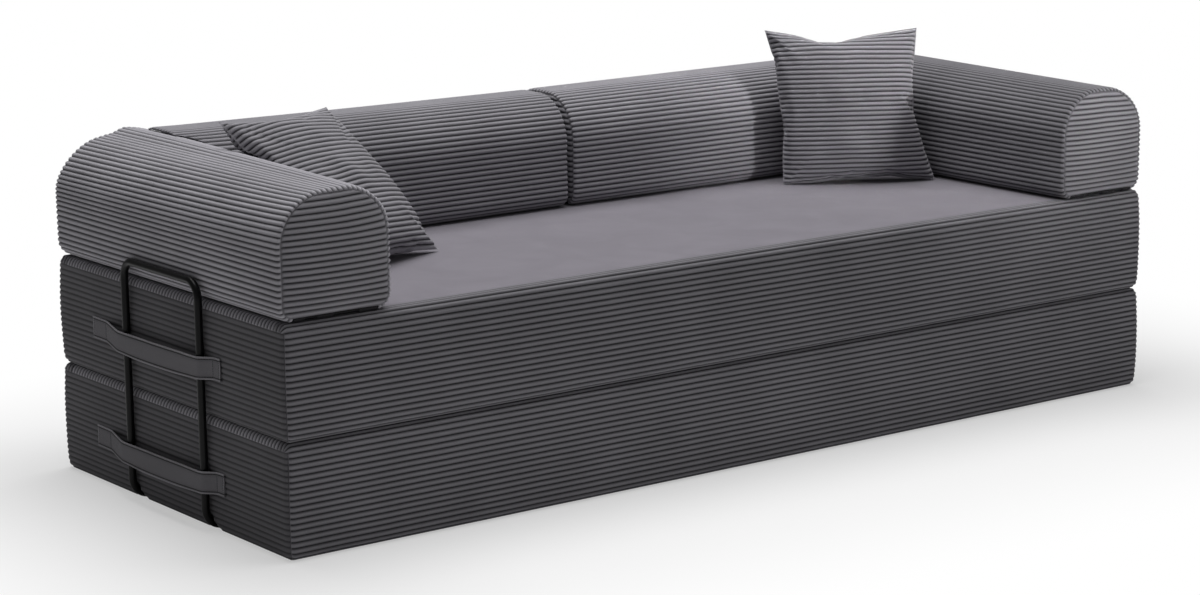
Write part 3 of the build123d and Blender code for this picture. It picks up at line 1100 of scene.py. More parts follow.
    def top_panel(self) -> Cut:
        """Lay the smooth top, a little sunk along the seam that joins it to the ribbed border.

        Returns:
            The cut.
        """
        edge = np.array([0, 1.0, 2.2, 3.6, 6, 10, 18])
        x, y = (
            ladder(list(np.unique(np.concatenate([edge - seam, seam - edge]))), 25)
            for seam in (self.seam_x, self.seam_y)
        )
        sunk = 0.8
        points = spread(x, y[:, None], self.bottom + self.height - sunk)
        points[..., 2] += 0.5 * wander(points, 130, 4.0) - 0.5
        rim = np.minimum(self.seam_x - np.abs(x), (self.seam_y - np.abs(y))[:, None])
        tuck = (SEAM_TUCK - sunk) * stitched(rim, 2.6)
        return Cut(points, np.broadcast_to(UP, points.shape), tuck=tuck)

    def build(self) -> bpy.types.Object:
        """Sew the cover and its top, and hide the frame's plain solids.

        Returns:
            The cover, which carries the top.
        """
        cuts = [self.wrap_side(False), self.wrap_side(True)]
        cuts += [self.wrap_end(end) for end in End] + [self.end_panel(end) for end in End]
        cuts.append(self.underside())
        cover = sew(f"{self.name}_pad_cover", cuts, [self.finishes.corduroy, self.finishes.lining])
        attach(cover, self.body)
        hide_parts(f"{self.name}_cover", f"{self.name}_core")
        top = sew(f"{self.name}_pad_top", [self.top_panel()], [self.finishes.suede])
        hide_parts(f"{self.name}_top_panel")
        top.parent = cover
        return cover


@dataclass
class Block:
    """An armrest or a back bolster: one D-shaped ribbed wrap with a crowned panel at each end."""

    name: str
    finishes: Finishes
    length: float
    middle: tuple[float, float]
    turn: float
    bottom: float = BLOCK_BOTTOM
    width: float = BLOCK_WIDTH
    height: float = BLOCK_HEIGHT
    top_radius: float = BLOCK_TOP_RADIUS
    low_radius: float = BLOCK_LOW_RADIUS
    crown: float = 10.0  # how far the end panels swell out
    roll: float = 9.0  # how round the ends' edges are
    seam_turn: float = math.radians(78)  # how far the wrap rolls round an end to its seam
    beds: tuple[tuple[float, float], ...] = ((35.5, 60.5), (-45.5, 5.5))  # of zip and hook strips
    end_tuck: float = 2.0  # the seams round the end panels lie shallow
    seed: float = 0.0
    # Painted light and shade on the wrap, as a factor on its colour
    nap: float = 1.0
    # Painted shade on the end panels, as a factor on their colour
    end_painted_shade: float = 1.0
    rise: tuple[float, float] = (0.0, 0.0)  # how much fuller the top is at either end
    slump: float = 0.0  # how far the outer shoulder has sunk at the far end
    square: float = 0.0  # how square the inner shoulder is pushed, far off or by the snug end
    heave: float = 0.0  # how far that inner shoulder is pushed up as well
    squeeze: tuple[float, float] = (1.13, 0.6)  # factor and power by which that grows along it
    snug: End | None = None  # the end that is pressed over a round shoulder
    snug_reach: float = 84.0  # the furthest that it goes
    snug_run: tuple[float, float] = (150.0, 12.0)  # from that end, where it begins and is whole
    snug_clear: tuple[float, float] = (2.0, -4.0)  # how far it stays off, low down and at the top

    def __post_init__(self) -> None:
        """Work out the corners of the D-section and where the ends begin to roll."""
        self.side_y = self.width / 2
        self.low_y = self.side_y - self.low_radius
        self.top_y = self.side_y - self.top_radius
        self.shoulder = self.height - self.top_radius
        self.flat_x = self.length / 2 - self.crown - self.roll

    def section(self, walk: np.ndarray) -> tuple[np.ndarray, np.ndarray]:
        """Points round the D, from the underside's left edge over the top to its right edge.

        Args:
            walk: Distances along that line, as shares of the whole.

        Returns:
            The points and their outward directions, as Y and Z.
        """
        low, high = self.low_radius, self.top_radius
        runs = [low * QUARTER, self.shoulder - low, high * QUARTER, 2 * self.top_y]
        stops = np.cumsum([0, *runs, *runs[2::-1]])
        at_stops = (
            QUARTER * np.array([-1, 0, 0, 1, 1, 2, 2, 3]),
            np.repeat([-self.low_y, -self.top_y, self.top_y, self.low_y], 2),
            np.repeat([low, self.shoulder, low], (2, 4, 2)),
            np.repeat([low, high, low], (2, 4, 2)),
        )
        angle, y, z, radius = (np.interp(walk * stops[-1], stops, values) for values in at_stops)
        out = np.stack([-np.cos(angle), np.sin(angle)], -1)
        return np.stack([y, z], -1) + out * radius[:, None], out

    def perimeter(self) -> float:
        """Length of the D from one underside edge over the top to the other."""
        arcs = math.pi * (self.low_radius + self.top_radius)
        return arcs + 2 * (self.shoulder - self.low_radius) + 2 * self.top_y

    def rolled(
        self, line: np.ndarray, out: np.ndarray
    ) -> tuple[np.ndarray, np.ndarray, np.ndarray]:
        """Carry a section line along the block and round both ends.

        Args:
            line: Points of the section, as Y and Z.
            out: Their outward directions.

        Returns:
            The points, the outward directions, and each column's share of the end's roll.
        """
        flat = ladder([-self.flat_x, self.flat_x], 36)
        shares = np.array([0.2, 0.4, 0.58, 0.74, 0.88, 1.0])
        x = np.pad(flat, len(shares), mode="edge")
        share = np.concatenate([-shares[::-1], np.zeros(len(flat)), shares])
        turn = share * self.seam_turn
        inset = self.roll * (1 - np.cos(turn))
        (y, z), (out_y, out_z) = line.T[..., None], out.T[..., None]
        points = spread(x + self.roll * np.sin(turn), y - out_y * inset, z - out_z * inset)
        normals = spread(np.sin(turn), out_y * np.cos(turn), out_z * np.cos(turn))
        return points, normals, np.abs(share)

    def squared(self, z: np.ndarray) -> np.ndarray:
        """Heights of a round shoulder after a neighbour has squeezed it."""
        push = smoothstep(0, 0.4, (z - self.shoulder) / self.top_radius)
        return z + push * (self.square * np.maximum(self.height - z, 0) + self.heave)

    def ease(self, points: np.ndarray) -> None:
        """Fill out the top and press the snug end over the armrest's round shoulder.

        Args:
            points: Positions on the block before it is turned into place, which are moved.
        """
        at = np.clip(points[..., 0] / self.length + 0.5, 0, 1)
        top = smoothstep(0.35, 1.0, points[..., 2] / self.height)
        fuller = self.rise[0] + (self.rise[1] - self.rise[0]) * at ** (0.5 if self.snug else 1.0)
        if self.snug is None:
            side = points[..., 1] / self.side_y
            fuller = fuller - self.slump * np.maximum(side, 0) * np.sqrt(at)
            pushed = self.squared(points[..., 2]) - points[..., 2]
            factor, power = self.squeeze
            grown = np.minimum(factor * at**power, 1)
            points[..., 2] += pushed * smoothstep(0, 0.35, -side) * grown
        points[..., 2] += fuller * top
        if self.snug is None:
            return
        over = np.linspace(0, self.top_radius, 60)
        gaps = self.top_radius - np.sqrt(self.top_radius**2 - over**2)
        gap = np.interp(points[..., 2], self.squared(self.shoulder + over), gaps)
        clear = np.interp(
            points[..., 2], [0.8 * self.height, 0.95 * self.height], self.snug_clear
        )
        reach = np.clip(gap - clear, 0, self.snug_reach)
        side = self.snug.value
        begin, whole = (self.length / 2 - run for run in self.snug_run)
        points[..., 0] += side * reach * smoothstep(begin, whole, side * points[..., 0])

    def wrap(self) -> Cut:
        """Lay the ribbed wrap, its ribs along the block.

        Returns:
            The cut.
        """
        count = round(self.perimeter() / RIB_PITCH)
        ribs = rib_rows(count)
        points, normals, share = self.rolled(*self.section(ribs / count))
        end = self.drawn(share)
        cut = Cut(points, normals, ribs, 1 - end, self.end_tuck * end, nap=self.nap)
        cut.relax(FOAM_TRIAL, bulge=1.2, dent=2.4, seed=self.seed)
        self.ease(cut.points)
        return cut

    def drawn(self, share: np.ndarray) -> np.ndarray:
        """How hard the end's seam pulls each column, from the column's share of the roll."""
        return smoothstep(0.6, 1.0, share)[None] ** 3

    def underside(self) -> Cut:
        """Lay the lined underside, with flat beds for the zip and the hook strips.

        Returns:
            The cut.
        """
        edges = np.array(self.beds).ravel()
        rows = ladder([-self.low_y, self.low_y], 12)
        rows = np.unique(np.concatenate([rows, edges - 0.5, edges + 0.5]))
        line = np.stack([rows, np.zeros_like(rows)], -1)
        points, normals, share = self.rolled(line, np.broadcast_to([0.0, -1.0], line.shape))
        over = points[..., 1]
        bed = np.any([(over > low) & (over < high) for low, high in self.beds], axis=0)
        # The tuck also darkens the lining with painted shade, most in the beds
        tuck = self.end_tuck * self.drawn(share) + np.where(bed, 1.8, 0.2)
        return Cut(points, normals, tuck=tuck, finish=1)

    def half_width(self, z: np.ndarray, inset: float) -> np.ndarray:
        """Half the D's width, with its line drawn in.

        Args:
            z: Heights over the underside.
            inset: How far the line is drawn in.

        Returns:
            Half the width at each height.
        """
        low, high = self.low_radius - inset, self.top_radius - inset
        below = self.low_y + np.sqrt(np.maximum(low**2 - (self.low_radius - z) ** 2, 0))
        above = self.top_y + np.sqrt(np.maximum(high**2 - (z - self.shoulder) ** 2, 0))
        middle = np.full_like(z, self.side_y - inset)
        return np.where(z < self.low_radius, below, np.where(z > self.shoulder, above, middle))

    def end_panel(self, end: End) -> Cut:
        """Lay a crowned end panel, its ribs level.

        Args:
            end: Which end.

        Returns:
            The cut.
        """
        inset = self.roll * (1 - math.cos(self.seam_turn))
        start = self.flat_x + self.roll * math.sin(self.seam_turn)
        tall = self.height - 2 * inset
        count = round(tall / RIB_PITCH)
        ribs = rib_rows(count)
        z = inset + ribs / count * tall
        half = self.half_width(z, inset)[:, None]
        shares = np.array([0, 0.2, 0.4, 0.58, 0.72, 0.83, 0.91, 0.96, 1.0])
        shares = np.concatenate([-shares[:0:-1], shares])
        y = half * shares
        rise = (z - self.height / 2) / (self.height / 2 - inset)
        dome = (1 - np.abs(shares)[None] ** 2.6) * (1 - np.abs(rise)[:, None] ** 3.4)
        swell = self.crown + self.roll * (1 - math.sin(self.seam_turn))
        x = start + swell * dome
        slope_y = np.gradient(x, axis=1) / np.maximum(np.gradient(y, axis=1), 1e-3)
        normals = unit(spread(1.0, -slope_y, -np.gradient(x, z, axis=0)))
        height_left = np.minimum(z - inset, self.height - inset - z)[:, None]
        pull = stitched(np.minimum(half - np.abs(y), height_left), 2.4)
        grids = spread(x, y, z[:, None]), normals
        grids = mirrored(*grids) if end is End.LEFT else grids
        cut = Cut(*grids, ribs, 1 - pull, self.end_tuck * pull, nap=self.end_painted_shade)
        cut.relax(FOAM_TRIAL, bulge=1.0, dent=2.0, seed=self.seed + end.value)
        self.ease(cut.points)
        return cut

    def build(self) -> bpy.types.Object:
        """Sew the block, turn it into place and hide the frame's plain solids.

        Returns:
            The cover.
        """
        cuts = [self.wrap(), self.underside()] + [self.end_panel(end) for end in End]
        cover = sew(f"{self.name}_block", cuts, [self.finishes.corduroy, self.finishes.lining])
        turn = Matrix.Rotation(math.radians(self.turn), 4, "Z")
        place = Matrix.Translation(Vector((*self.middle, self.bottom)) * MM)
        cover.data.transform(place @ turn)
        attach(cover, self.name)
        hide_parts(f"{self.name}_cover", f"{self.name}_core")
        return cover


@dataclass(frozen=True)
class Neighbour:
    """The D-section of a block that a pillow leans on, for pressing the pillow's cloth out of it.

    Attributes:
        across: Which axis the section's width lies along, 0 for X and 1 for Y.
        middle: Where its middle lies on that axis.
        soft: How gently the cloth turns away from it.
    """

    across: int
    middle: float
    half: float = BLOCK_WIDTH / 2
    bottom: float = BLOCK_BOTTOM
    height: float = BLOCK_HEIGHT
    top_radius: float = BLOCK_TOP_RADIUS
    low_radius: float = BLOCK_LOW_RADIUS
    soft: float = 2.5

    def depth(self, u: np.ndarray, w: np.ndarray) -> np.ndarray:
        """Measure how far points lie from the section's line.

        Args:
            u: Places along the axis that it lies across.
            w: Heights over the floor.

        Returns:
            Distances, less than 0 inside it.
        """
        high = w > self.bottom + self.height / 2
        radius = np.where(high, self.top_radius, self.low_radius)
        x = np.abs(u - self.middle) - self.half + radius
        y = np.abs(w - self.bottom - self.height / 2) - self.height / 2 + radius
        inside = np.minimum(np.maximum(x, y), 0)
        return inside + np.hypot(np.maximum(x, 0), np.maximum(y, 0)) - radius

    def press(self, points: np.ndarray, margin: float) -> None:
        """Move points out until they clear the block.

        Args:
            points: Positions, which are moved.
            margin: How far they stay off it.
        """
        u, w = points[..., self.across], points[..., 2]
        step = 0.5
        slope_u = (self.depth(u + step, w) - self.depth(u - step, w)) / (2 * step)
        slope_w = (self.depth(u, w + step) - self.depth(u, w - step)) / (2 * step)
        push = self.soft * np.logaddexp(0, (margin - self.depth(u, w)) / self.soft)
        points[..., self.across] = u + slope_u * push
        points[..., 2] = w + slope_w * push


@dataclass
class Pillow:
    """A square ribbed pillow: two flat cloths sewn round, filled until the sides draw in."""

    name: str
    finishes: Finishes
    middle: tuple[float, float, float]
    turn: float
    lean: float
    seed: float
    neighbours: tuple[Neighbour, ...]
    wide: float = 326.0
    tall: float = 326.0
    skew: float = 0.0  # how far the top has slumped sideways over the foot
    roll: float = 0.0  # degrees that its right side hangs lower
    thick: float = 118.0
    cloth: float = 340.0  # side of the flat cloths that it is sewn from
    seat: float = 400.9  # just clear of the seat pad's top
    margin: float = 1.6  # how far it stays off the blocks
    soft: float = 2.0  # how gently it turns out along the seat
    rise: tuple[float, float] = (32.0, 6.0)  # how high its filling is first heaped, and unevenly
    coarse: int = 37  # rows and columns of the cloths while they are filled

    def filled(self) -> list[np.ndarray]:
        """Fill the flat bag and fit it to the pillow's size.

        Returns:
            The front and back cloth as coarse grids, on the pillow's own plane.
        """
        share = np.linspace(-1, 1, self.coarse)
        u, v = np.meshgrid(share, share)
        places = np.stack([u * self.cloth / 2, v * self.cloth / 2, np.zeros_like(u)], -1)
        dome = ((1 - u**2) * (1 - v**2)) ** 0.8
        heap, uneven = self.rise
        lift = (dome * (heap + uneven * wander(places, 45, self.seed)))[..., None] * UP
        front = np.arange(u.size).reshape(u.shape)
        back = front.copy()
        back[1:-1, 1:-1] = u.size + np.arange((self.coarse - 2) ** 2).reshape(self.coarse - 2, -1)
        sheets = [places + lift, places - lift]
        parts = sheets[0], sheets[1][1:-1, 1:-1]
        points = np.concatenate([part.reshape(-1, 3) for part in parts])
        faces = np.concatenate([grid_faces(front), grid_faces(back)[:, ::-1]])
        settled = FIBRE_TRIAL.settle(points, faces, np.array([]))
        sheets = [settled[front], settled[back]]
        both = np.concatenate([sheet.reshape(-1, 3) for sheet in sheets])
        low, high = both.min(0), both.max(0)
        fit = np.array([self.wide, self.tall, self.thick]) / (high - low)
        slump = np.array([[1.0, 0.0, 0.0], [self.skew / self.tall, 1.0, 0.0], [0.0, 0.0, 1.0]])
        return [(sheet - (low + high) / 2) * fit @ slump for sheet in sheets]

    def leaned(self, points: np.ndarray) -> np.ndarray:
        """Lean the pillow in its corner and press it against what carries it.

        Args:
            points: Positions on the pillow's own plane.

        Returns:
            Positions on the sofa.
        """
        turn, lean = math.radians(self.turn), math.radians(self.lean)
        across = np.array([math.cos(turn), math.sin(turn), 0.0])
        facing = np.array([math.sin(turn), -math.cos(turn), math.tan(lean)]) * math.cos(lean)
        up, roll = np.cross(facing, across), math.radians(self.roll)
        right = across * math.cos(roll) - up * math.sin(roll)
        basis = np.stack([right, np.cross(facing, right), facing])
        placed = points @ basis + np.array(self.middle)
        for neighbour in self.neighbours:
            neighbour.press(placed, self.margin)
        over = (placed[..., 2] - self.seat) / self.soft
        placed[..., 2] = self.seat + self.soft * np.logaddexp(0, over)
        return placed

    def face(self, sheet: np.ndarray, front: bool) -> Cut:
        """Lay the front or back cloth with its level ribs.

        Args:
            sheet: The cloth as a coarse grid.
            front: Whether it is the front.

        Returns:
            The cut.
        """
        count = round(self.cloth / RIB_PITCH)
        ribs = rib_rows(count)
        last = self.coarse - 1
        columns = np.linspace(0, last, 2 * last + 1)
        points = self.leaned(refine(sheet, ribs / count * last, columns))
        rows, along = np.gradient(points, axis=0), np.gradient(points, axis=1)
        normals = unit(np.cross(along, rows) * (1 if front else -1))
        across = np.minimum(ribs, count - ribs)[:, None] * RIB_PITCH
        rim = np.minimum(across, np.minimum(columns, last - columns) / last * self.cloth)
        pull = stitched(rim, 2.6)
        return Cut(points, normals, ribs, 1 - pull, 0.3 * pull)

    def build(self) -> bpy.types.Object:
        """Fill, lean and sew the pillow.

        Returns:
            The pillow.
        """
        cuts = [self.face(sheet, front) for sheet, front in zip(self.filled(), (True, False))]
        piece = sew(f"{self.name}_cushion", cuts, [self.finishes.corduroy])
        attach(piece, self.name)
        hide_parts(f"{self.name}_cover", f"{self.name}_filling")
        return piece


# --- Straps, brackets and small pieces ---


@dataclass
class StrapHandle:
    """A canvas strap with folded, stitched edges, sewn flat at both ends over the bracket."""

    pad: str
    end: End
    bottom: float
    finishes: Finishes
    length: float = 450.0
    width: float = 40.0
    thick: float = 3.0
    height: float = 90.0  # of its middle line over the pad's underside
    shift: float = 30.0  # how far its middle lies behind the pad's
    front_box: float = 25.0
    back_box: float = 50.0
    inner_x: float = 1000.2
    leg_front: float = -145.0  # where the bracket's legs hold it off the pad
    leg_back: float = 134.0
    held: float = 8.0  # past a leg, the strap still stands upright this far
    free: float = 90.0  # and from here on its middle tips back in full
    sag: float = 5.0  # how far its middle hangs
    lean: float = 13.0  # degrees that its loose middle tips back
    stitch: float = 3.4
    hem: float = 4.5  # from the strap's edge to its stitches
    stitch_gap: float = 0.8
    # across each thread at four places along a stitch: place, rise and half width
    stitch_rows: tuple[tuple[float, float, float], ...] = (
        (-0.5, -0.3, 0.3), (-0.25, 0.55, 0.6), (0.25, 0.55, 0.6), (0.5, -0.3, 0.3),
    )

    def __post_init__(self) -> None:
        """Take the strap's reach from the frame and lay out its middle line."""
        self.node = f"{self.pad}_strap_{self.end.name.lower()}"
        low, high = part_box(self.node)
        outer_x = max(abs(low[0]), abs(high[0])) / MM
        near, far = self.inner_x + self.thick / 2, outer_x - self.thick / 2
        self.front, self.back = self.shift - self.length / 2, self.shift + self.length / 2
        corners = [
            (near, self.front),
            (near, self.front + self.front_box),
            (far, self.leg_front),
            (far, self.leg_back),
            (near, self.back - self.back_box),
            (near, self.back),
        ]
        y = np.linspace(self.front, self.back, 151)
        x = np.interp(y, [c[1] for c in corners], [c[0] for c in corners])
        for _ in range(3):
            x[1:-1] = (x[:-2] + 2 * x[1:-1] + x[2:]) / 4
        loose = smoothstep(self.front, self.leg_front, y)
        loose *= 1 - smoothstep(self.leg_back, self.back, y)
        hang = np.sin(np.pi * (y - self.front) / self.length) * loose
        self.line = np.stack([x, y, self.bottom + self.height - self.sag * hang], -1)
        self.ahead = unit(np.gradient(self.line, axis=0))
        loose = smoothstep(self.leg_front + self.held, self.leg_front + self.free, y)
        loose *= 1 - smoothstep(self.leg_back - self.free, self.leg_back - self.held, y)
        tilt = math.radians(self.lean) * loose
        self.up = np.stack([-np.sin(tilt), np.zeros(len(y)), np.cos(tilt)], -1)
        self.out = np.cross(self.ahead, self.up)

    def profile(self) -> np.ndarray:
        """Draw the strap's section, its folded edges a little thicker than its middle.

        Returns:
            Points of the closed section, as pairs.
        """
        w, t = self.width / 2, self.thick / 2
        steps = [(0.5, 0.7), (1.6, 1.0), (3.2, 0.95), (self.hem, 0.25), (6.0, 0.85), (10, 0.7)]
        half = [(-w + inward, t * share) for inward, share in steps]
        top = half + [(-x, y) for x, y in half[::-1]]
        low = [(-x, -y) for x, y in top]
        return np.array([(-w, 0.0)] + top + [(w, 0.0)] + low)

    def stitches(self) -> np.ndarray:
        """Rows of stitches along both edges and round the two sewn boxes.

        Returns:
            Three points across each thread, at four places along each stitch.
        """
        edge = self.width / 2 - self.hem
        step = self.stitch + self.stitch_gap
        places = []
        for y in np.arange(self.front + 4, self.back - 4, step):
            places += [(y, edge, True), (y, -edge, True)]
        for y in (4.0, self.front_box - 2, self.length - self.back_box + 2, self.length - 4):
            for high in np.arange(-edge + 2.5, edge - 2, step):
                places.append((self.front + y, high, False))
        rows = []
        for y, high, lengthwise in places:
            middle, ahead, up, out = (
                np.array([np.interp(y, self.line[:, 1], part[:, i]) for i in range(3)])
                for part in (self.line, self.ahead, self.up, self.out)
            )
            run, side = (ahead, up) if lengthwise else (up, -ahead)
            base = middle + up * high + out * self.thick * (0.25 if lengthwise else 0.36)
            for along, lift, half in self.stitch_rows:
                spine = base + run * along * self.stitch
                rows.append([spine - side * half, spine + out * lift, spine + side * half])
        return np.array(rows)

    def shade(self, points: np.ndarray) -> np.ndarray:
        """Paint light and shade on the strap: a painted highlight on the folded hems and ends,
        painted shade in the stitched grooves.

        Args:
            points: The strap's grid, rows along it.

        Returns:
            How bright each point is, from 0 to 1.
        """
        across = np.abs(np.append(self.profile(), self.profile()[:1], axis=0)[:, 0])
        # Painted shade in the stitched grooves and a painted highlight on the folded hems and
        # ends, the middle at half brightness
        groove = stitched(across - self.width / 2 + self.hem, 1.2)
        edge = smoothstep(self.width / 2 - self.hem, self.width / 2 - 1.5, across)
        ends = np.abs(points[..., 1] - self.shift) - self.length / 2
        folded = np.maximum(edge[None], smoothstep(-5, -2, ends))
        return (0.5 + 0.5 * folded) * (1 - groove)

    def build(self) -> bpy.types.Object:
        """Make the strap with its stitches.

        Returns:
            The strap, which carries the stitches.
        """
        grids = *sweep(self.line, self.up, self.out, self.profile()), self.stitches()
        points, normals, threads = mirrored(*grids) if self.end is End.LEFT else grids
        web = Cut(points, normals, shade=self.shade(points))
        strap = sew(f"{self.node}_web", [web], [self.finishes.canvas])
        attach(strap, f"{self.pad}_pad")
        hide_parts(self.node)
        outward = np.array([float(self.end.value), 0.0, 0.0])
        cuts = [Cut(t, np.broadcast_to(outward, t.shape)) for t in threads.reshape(-1, 4, 3, 3)]
        thread = sew(f"{self.node}_stitches", cuts, [self.finishes.thread])
        thread.parent = strap
        return strap


@dataclass
class ZipTeeth:
    """The moulded teeth and the slider of one zip, laid on its tape.

    Attributes:
        node: The frame's zip.
        cover: The piece that the zip is sewn into.
        along: The direction that the zip runs in.
        out: The direction that it faces.
    """

    node: str
    cover: bpy.types.Object
    along: np.ndarray
    out: np.ndarray
    finishes: Finishes
    pitch: float = 3.2
    margin: float = 6.0  # bare tape at both ends
    offset: float = 0.9  # how far each row of teeth lies off the middle
    tooth: tuple[float, float, float] = (1.4, 3.2, 0.9)
    slider: tuple[float, float, float] = (11.0, 8.0, 1.0)
    slider_back: float = 14.0  # from the tape's end

    def block(self, at: np.ndarray, size: tuple[float, float, float]) -> Cut:
        """Mould a small rounded block as a band round its sides and a lid.

        Args:
            at: The middle of its foot.
            size: Its size along the zip, across it and outward.

        Returns:
            The cut.
        """
        out, side = self.out, np.cross(self.out, self.along)
        ring = [(-0.5, -0.35), (-0.35, -0.5), (0.35, -0.5), (0.5, -0.35)]
        ring += [(-x, -y) for x, y in ring]
        ring.append(ring[0])
        long, wide, high = size
        points = np.array([
            [
                at + self.along * x * scale * long + side * y * scale * wide + out * rise * high
                for x, y in ring
            ]
            for scale, rise in ((1.0, 0.0), (1.0, 0.75), (0.8, 1.0), (0.0, 1.0))
        ])
        return Cut(points, unit(points - (at + out * high * 0.4)))

    def build(self) -> bpy.types.Object:
        """Lay the teeth and the slider.

        Returns:
            The teeth, which the cover carries.
        """
        low, high = (np.array(corner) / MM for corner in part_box(self.node))
        face = np.where(self.out > 0, high, low)
        middle = np.where(np.abs(self.out) > 0.5, face, (low + high) / 2) - self.out
        half = abs(np.dot(high - low, self.along)) / 2
        side = np.cross(self.out, self.along) * self.offset
        places = np.arange(-half + self.margin, half - self.margin, self.pitch / 2)
        cuts = [
            self.block(middle + self.along * place + (side if number % 2 else -side), self.tooth)
            for number, place in enumerate(places)
        ]
        cuts.append(self.block(middle + self.along * (half - self.slider_back), self.slider))
        teeth = sew(f"{self.node}_teeth", cuts, [self.finishes.nylon])
        teeth.parent = self.cover
        return teeth


@dataclass
class FramePieces:
    """The pieces that stay as the frame has them: steel tubes, their plugs, zips and strips."""

    finishes: Finishes
    nodes: dict[str, bpy.types.Object]

    def build(self) -> list[bpy.types.Object]:
        """Give each of them its real finish.

        Returns:
            The dressed objects.
        """
        finish_by_ending = {
            "bracket_left": self.finishes.powder,
            "bracket_right": self.finishes.powder,
            "_plugs": self.finishes.nylon,
            "_zip": self.finishes.tape,
            "_strips": self.finishes.hook,
        }
        dressed = []
        for name, node in self.nodes.items():
            for ending, finish in finish_by_ending.items():
                if name.endswith(ending):
                    dressed.append(node)
                    for slot in node.material_slots:
                        slot.material = finish
        return dressed


# --- Room, light and camera ---


@dataclass
class Stage:
    """A pale floor, even light and the camera at the photograph's angle."""

    focal_px: float = 3120.6
    frame_px: float = 1200.0
    yaw: float = 36.724
    pitch: float = 11.844
    roll: float = -0.631
    eye: tuple[float, float, float] = (-3542.9, -4669.4, 1479.6)
    rings: tuple[float, ...] = (1.5, 3.0, 5.0, 8.0, 14.0, 30.0)  # the floor's radii, in metres
    spokes: int = 48
    shadow_from: tuple[float, float, float] = (1.0, 0.4, 0.0)  # the sofa's half sizes, in metres
    shadow_reach: float = 0.75  # how far past them the floor turns to plain white
    shadow_white: float = 0.45  # how white it already is beside the sofa
    fill: float = 0.13  # strength of the light from all round

    def camera(self) -> bpy.types.Object:
        """Set up the camera.

        Returns:
            The camera.
        """
        data = bpy.data.cameras.new("camera")
        data.sensor_fit = "HORIZONTAL"
        data.sensor_width = 36.0
        data.lens = self.focal_px / self.frame_px * data.sensor_width
        data.clip_end = 100
        yaw, pitch, roll = (math.radians(a) for a in (self.yaw, self.pitch, self.roll))
        level = math.cos(pitch)
        ahead = Vector((math.sin(yaw) * level, math.cos(yaw) * level, -math.sin(pitch)))
        right = Vector((math.cos(yaw), -math.sin(yaw), 0))
        up = right.cross(ahead)
        across = right * math.cos(roll) + up * math.sin(roll)
        upward = up * math.cos(roll) - right * math.sin(roll)
        turn = Matrix((across, upward, -ahead)).transposed().to_4x4()
        camera = put("camera", data)
        camera.matrix_world = Matrix.Translation(Vector(self.eye) * MM) @ turn
        bpy.context.scene.camera = camera
        return camera

    def paper(self) -> bpy.types.Material:
        """Build the floor's paper, matt white, which turns to plain white past the shadow.

        Returns:
            The material.
        """
        made = bpy.data.materials.new("paper_floor_matt_white")
        made.use_nodes = True
        tree = made.node_tree
        add = partial(add_node, tree)
        shader = tree.nodes["Principled BSDF"]
        shader.inputs["Base Color"].default_value = linear("#f4f4f4")
        shader.inputs["Roughness"].default_value = 0.9
        place = add("ShaderNodeNewGeometry").outputs["Position"]
        for settings in (
            {"operation": "ABSOLUTE"},
            {"operation": "SUBTRACT", 1: self.shadow_from},
            {"operation": "MAXIMUM", 1: (0.0, 0.0, 0.0)},
        ):
            place = add("ShaderNodeVectorMath", settings, {0: place}).outputs["Vector"]
        reach = add("ShaderNodeVectorMath", {"operation": "LENGTH"}, {0: place})
        fade = {"From Min": 0.0, "From Max": self.shadow_reach, "To Min": self.shadow_white}
        fade["interpolation_type"] = "SMOOTHSTEP"
        far = add("ShaderNodeMapRange", fade, {"Value": reach.outputs["Value"]})
        path = add("ShaderNodeLightPath")
        rays = {0: far.outputs["Result"], 1: path.outputs["Is Camera Ray"]}
        seen = add("ShaderNodeMath", TIMES, rays)
        white = add("ShaderNodeEmission", {"Color": (1, 1, 1, 1), "Strength": 1.0})
        mixed = {0: seen.outputs["Value"], 1: shader.outputs["BSDF"], 2: white.outputs["Emission"]}
        mix = add("ShaderNodeMixShader", links=mixed)
        tree.links.new(mix.outputs["Shader"], tree.nodes["Material Output"].inputs["Surface"])
        return made

    def floor(self) -> bpy.types.Object:
        """Lay a pale round floor that keeps the sofa's shadow.

        Returns:
            The floor.
        """
        turns = [2 * math.pi * spoke / self.spokes for spoke in range(self.spokes)]
        points = [(0.0, 0.0, 0.0)]
        points += [(r * math.cos(a), r * math.sin(a), 0.0) for r in self.rings for a in turns]
        pairs = list(enumerate([*range(1, self.spokes), 0]))  # each spoke and the next one round
        faces = [(0, 1 + i, 1 + j) for i, j in pairs]
        for ring in range(len(self.rings) - 1):
            a, b = 1 + ring * self.spokes, 1 + (ring + 1) * self.spokes
            faces += [(a + i, b + i, b + j, a + j) for i, j in pairs]
        mesh = bpy.data.meshes.new("studio_floor")
        mesh.from_pydata(points, [], faces)
        mesh.materials.append(self.paper())
        floor = put("studio_floor", mesh)
        floor.location.z = -0.0005
        floor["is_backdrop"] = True
        return floor

    def world(self) -> None:
        """Fill from all round, and white wherever the camera looks past the sofa."""
        world = bpy.data.worlds.new("studio")
        world.use_nodes = True
        world.node_tree.nodes.clear()
        add = partial(add_node, world.node_tree)
        path = add("ShaderNodeLightPath")
        rays = {0: path.outputs["Is Camera Ray"], 1: path.outputs["Is Transmission Ray"]}
        links = {0: add("ShaderNodeMath", {"operation": "MAXIMUM"}, rays).outputs["Value"]}
        for number, strength in ((1, self.fill), (2, 1.0)):
            light = add("ShaderNodeBackground", {"Color": (1, 1, 1, 1), "Strength": strength})
            links[number] = light.outputs["Background"]
        mix = add("ShaderNodeMixShader", links=links)
        add("ShaderNodeOutputWorld", links={"Surface": mix.outputs["Shader"]})
        bpy.context.scene.world = world

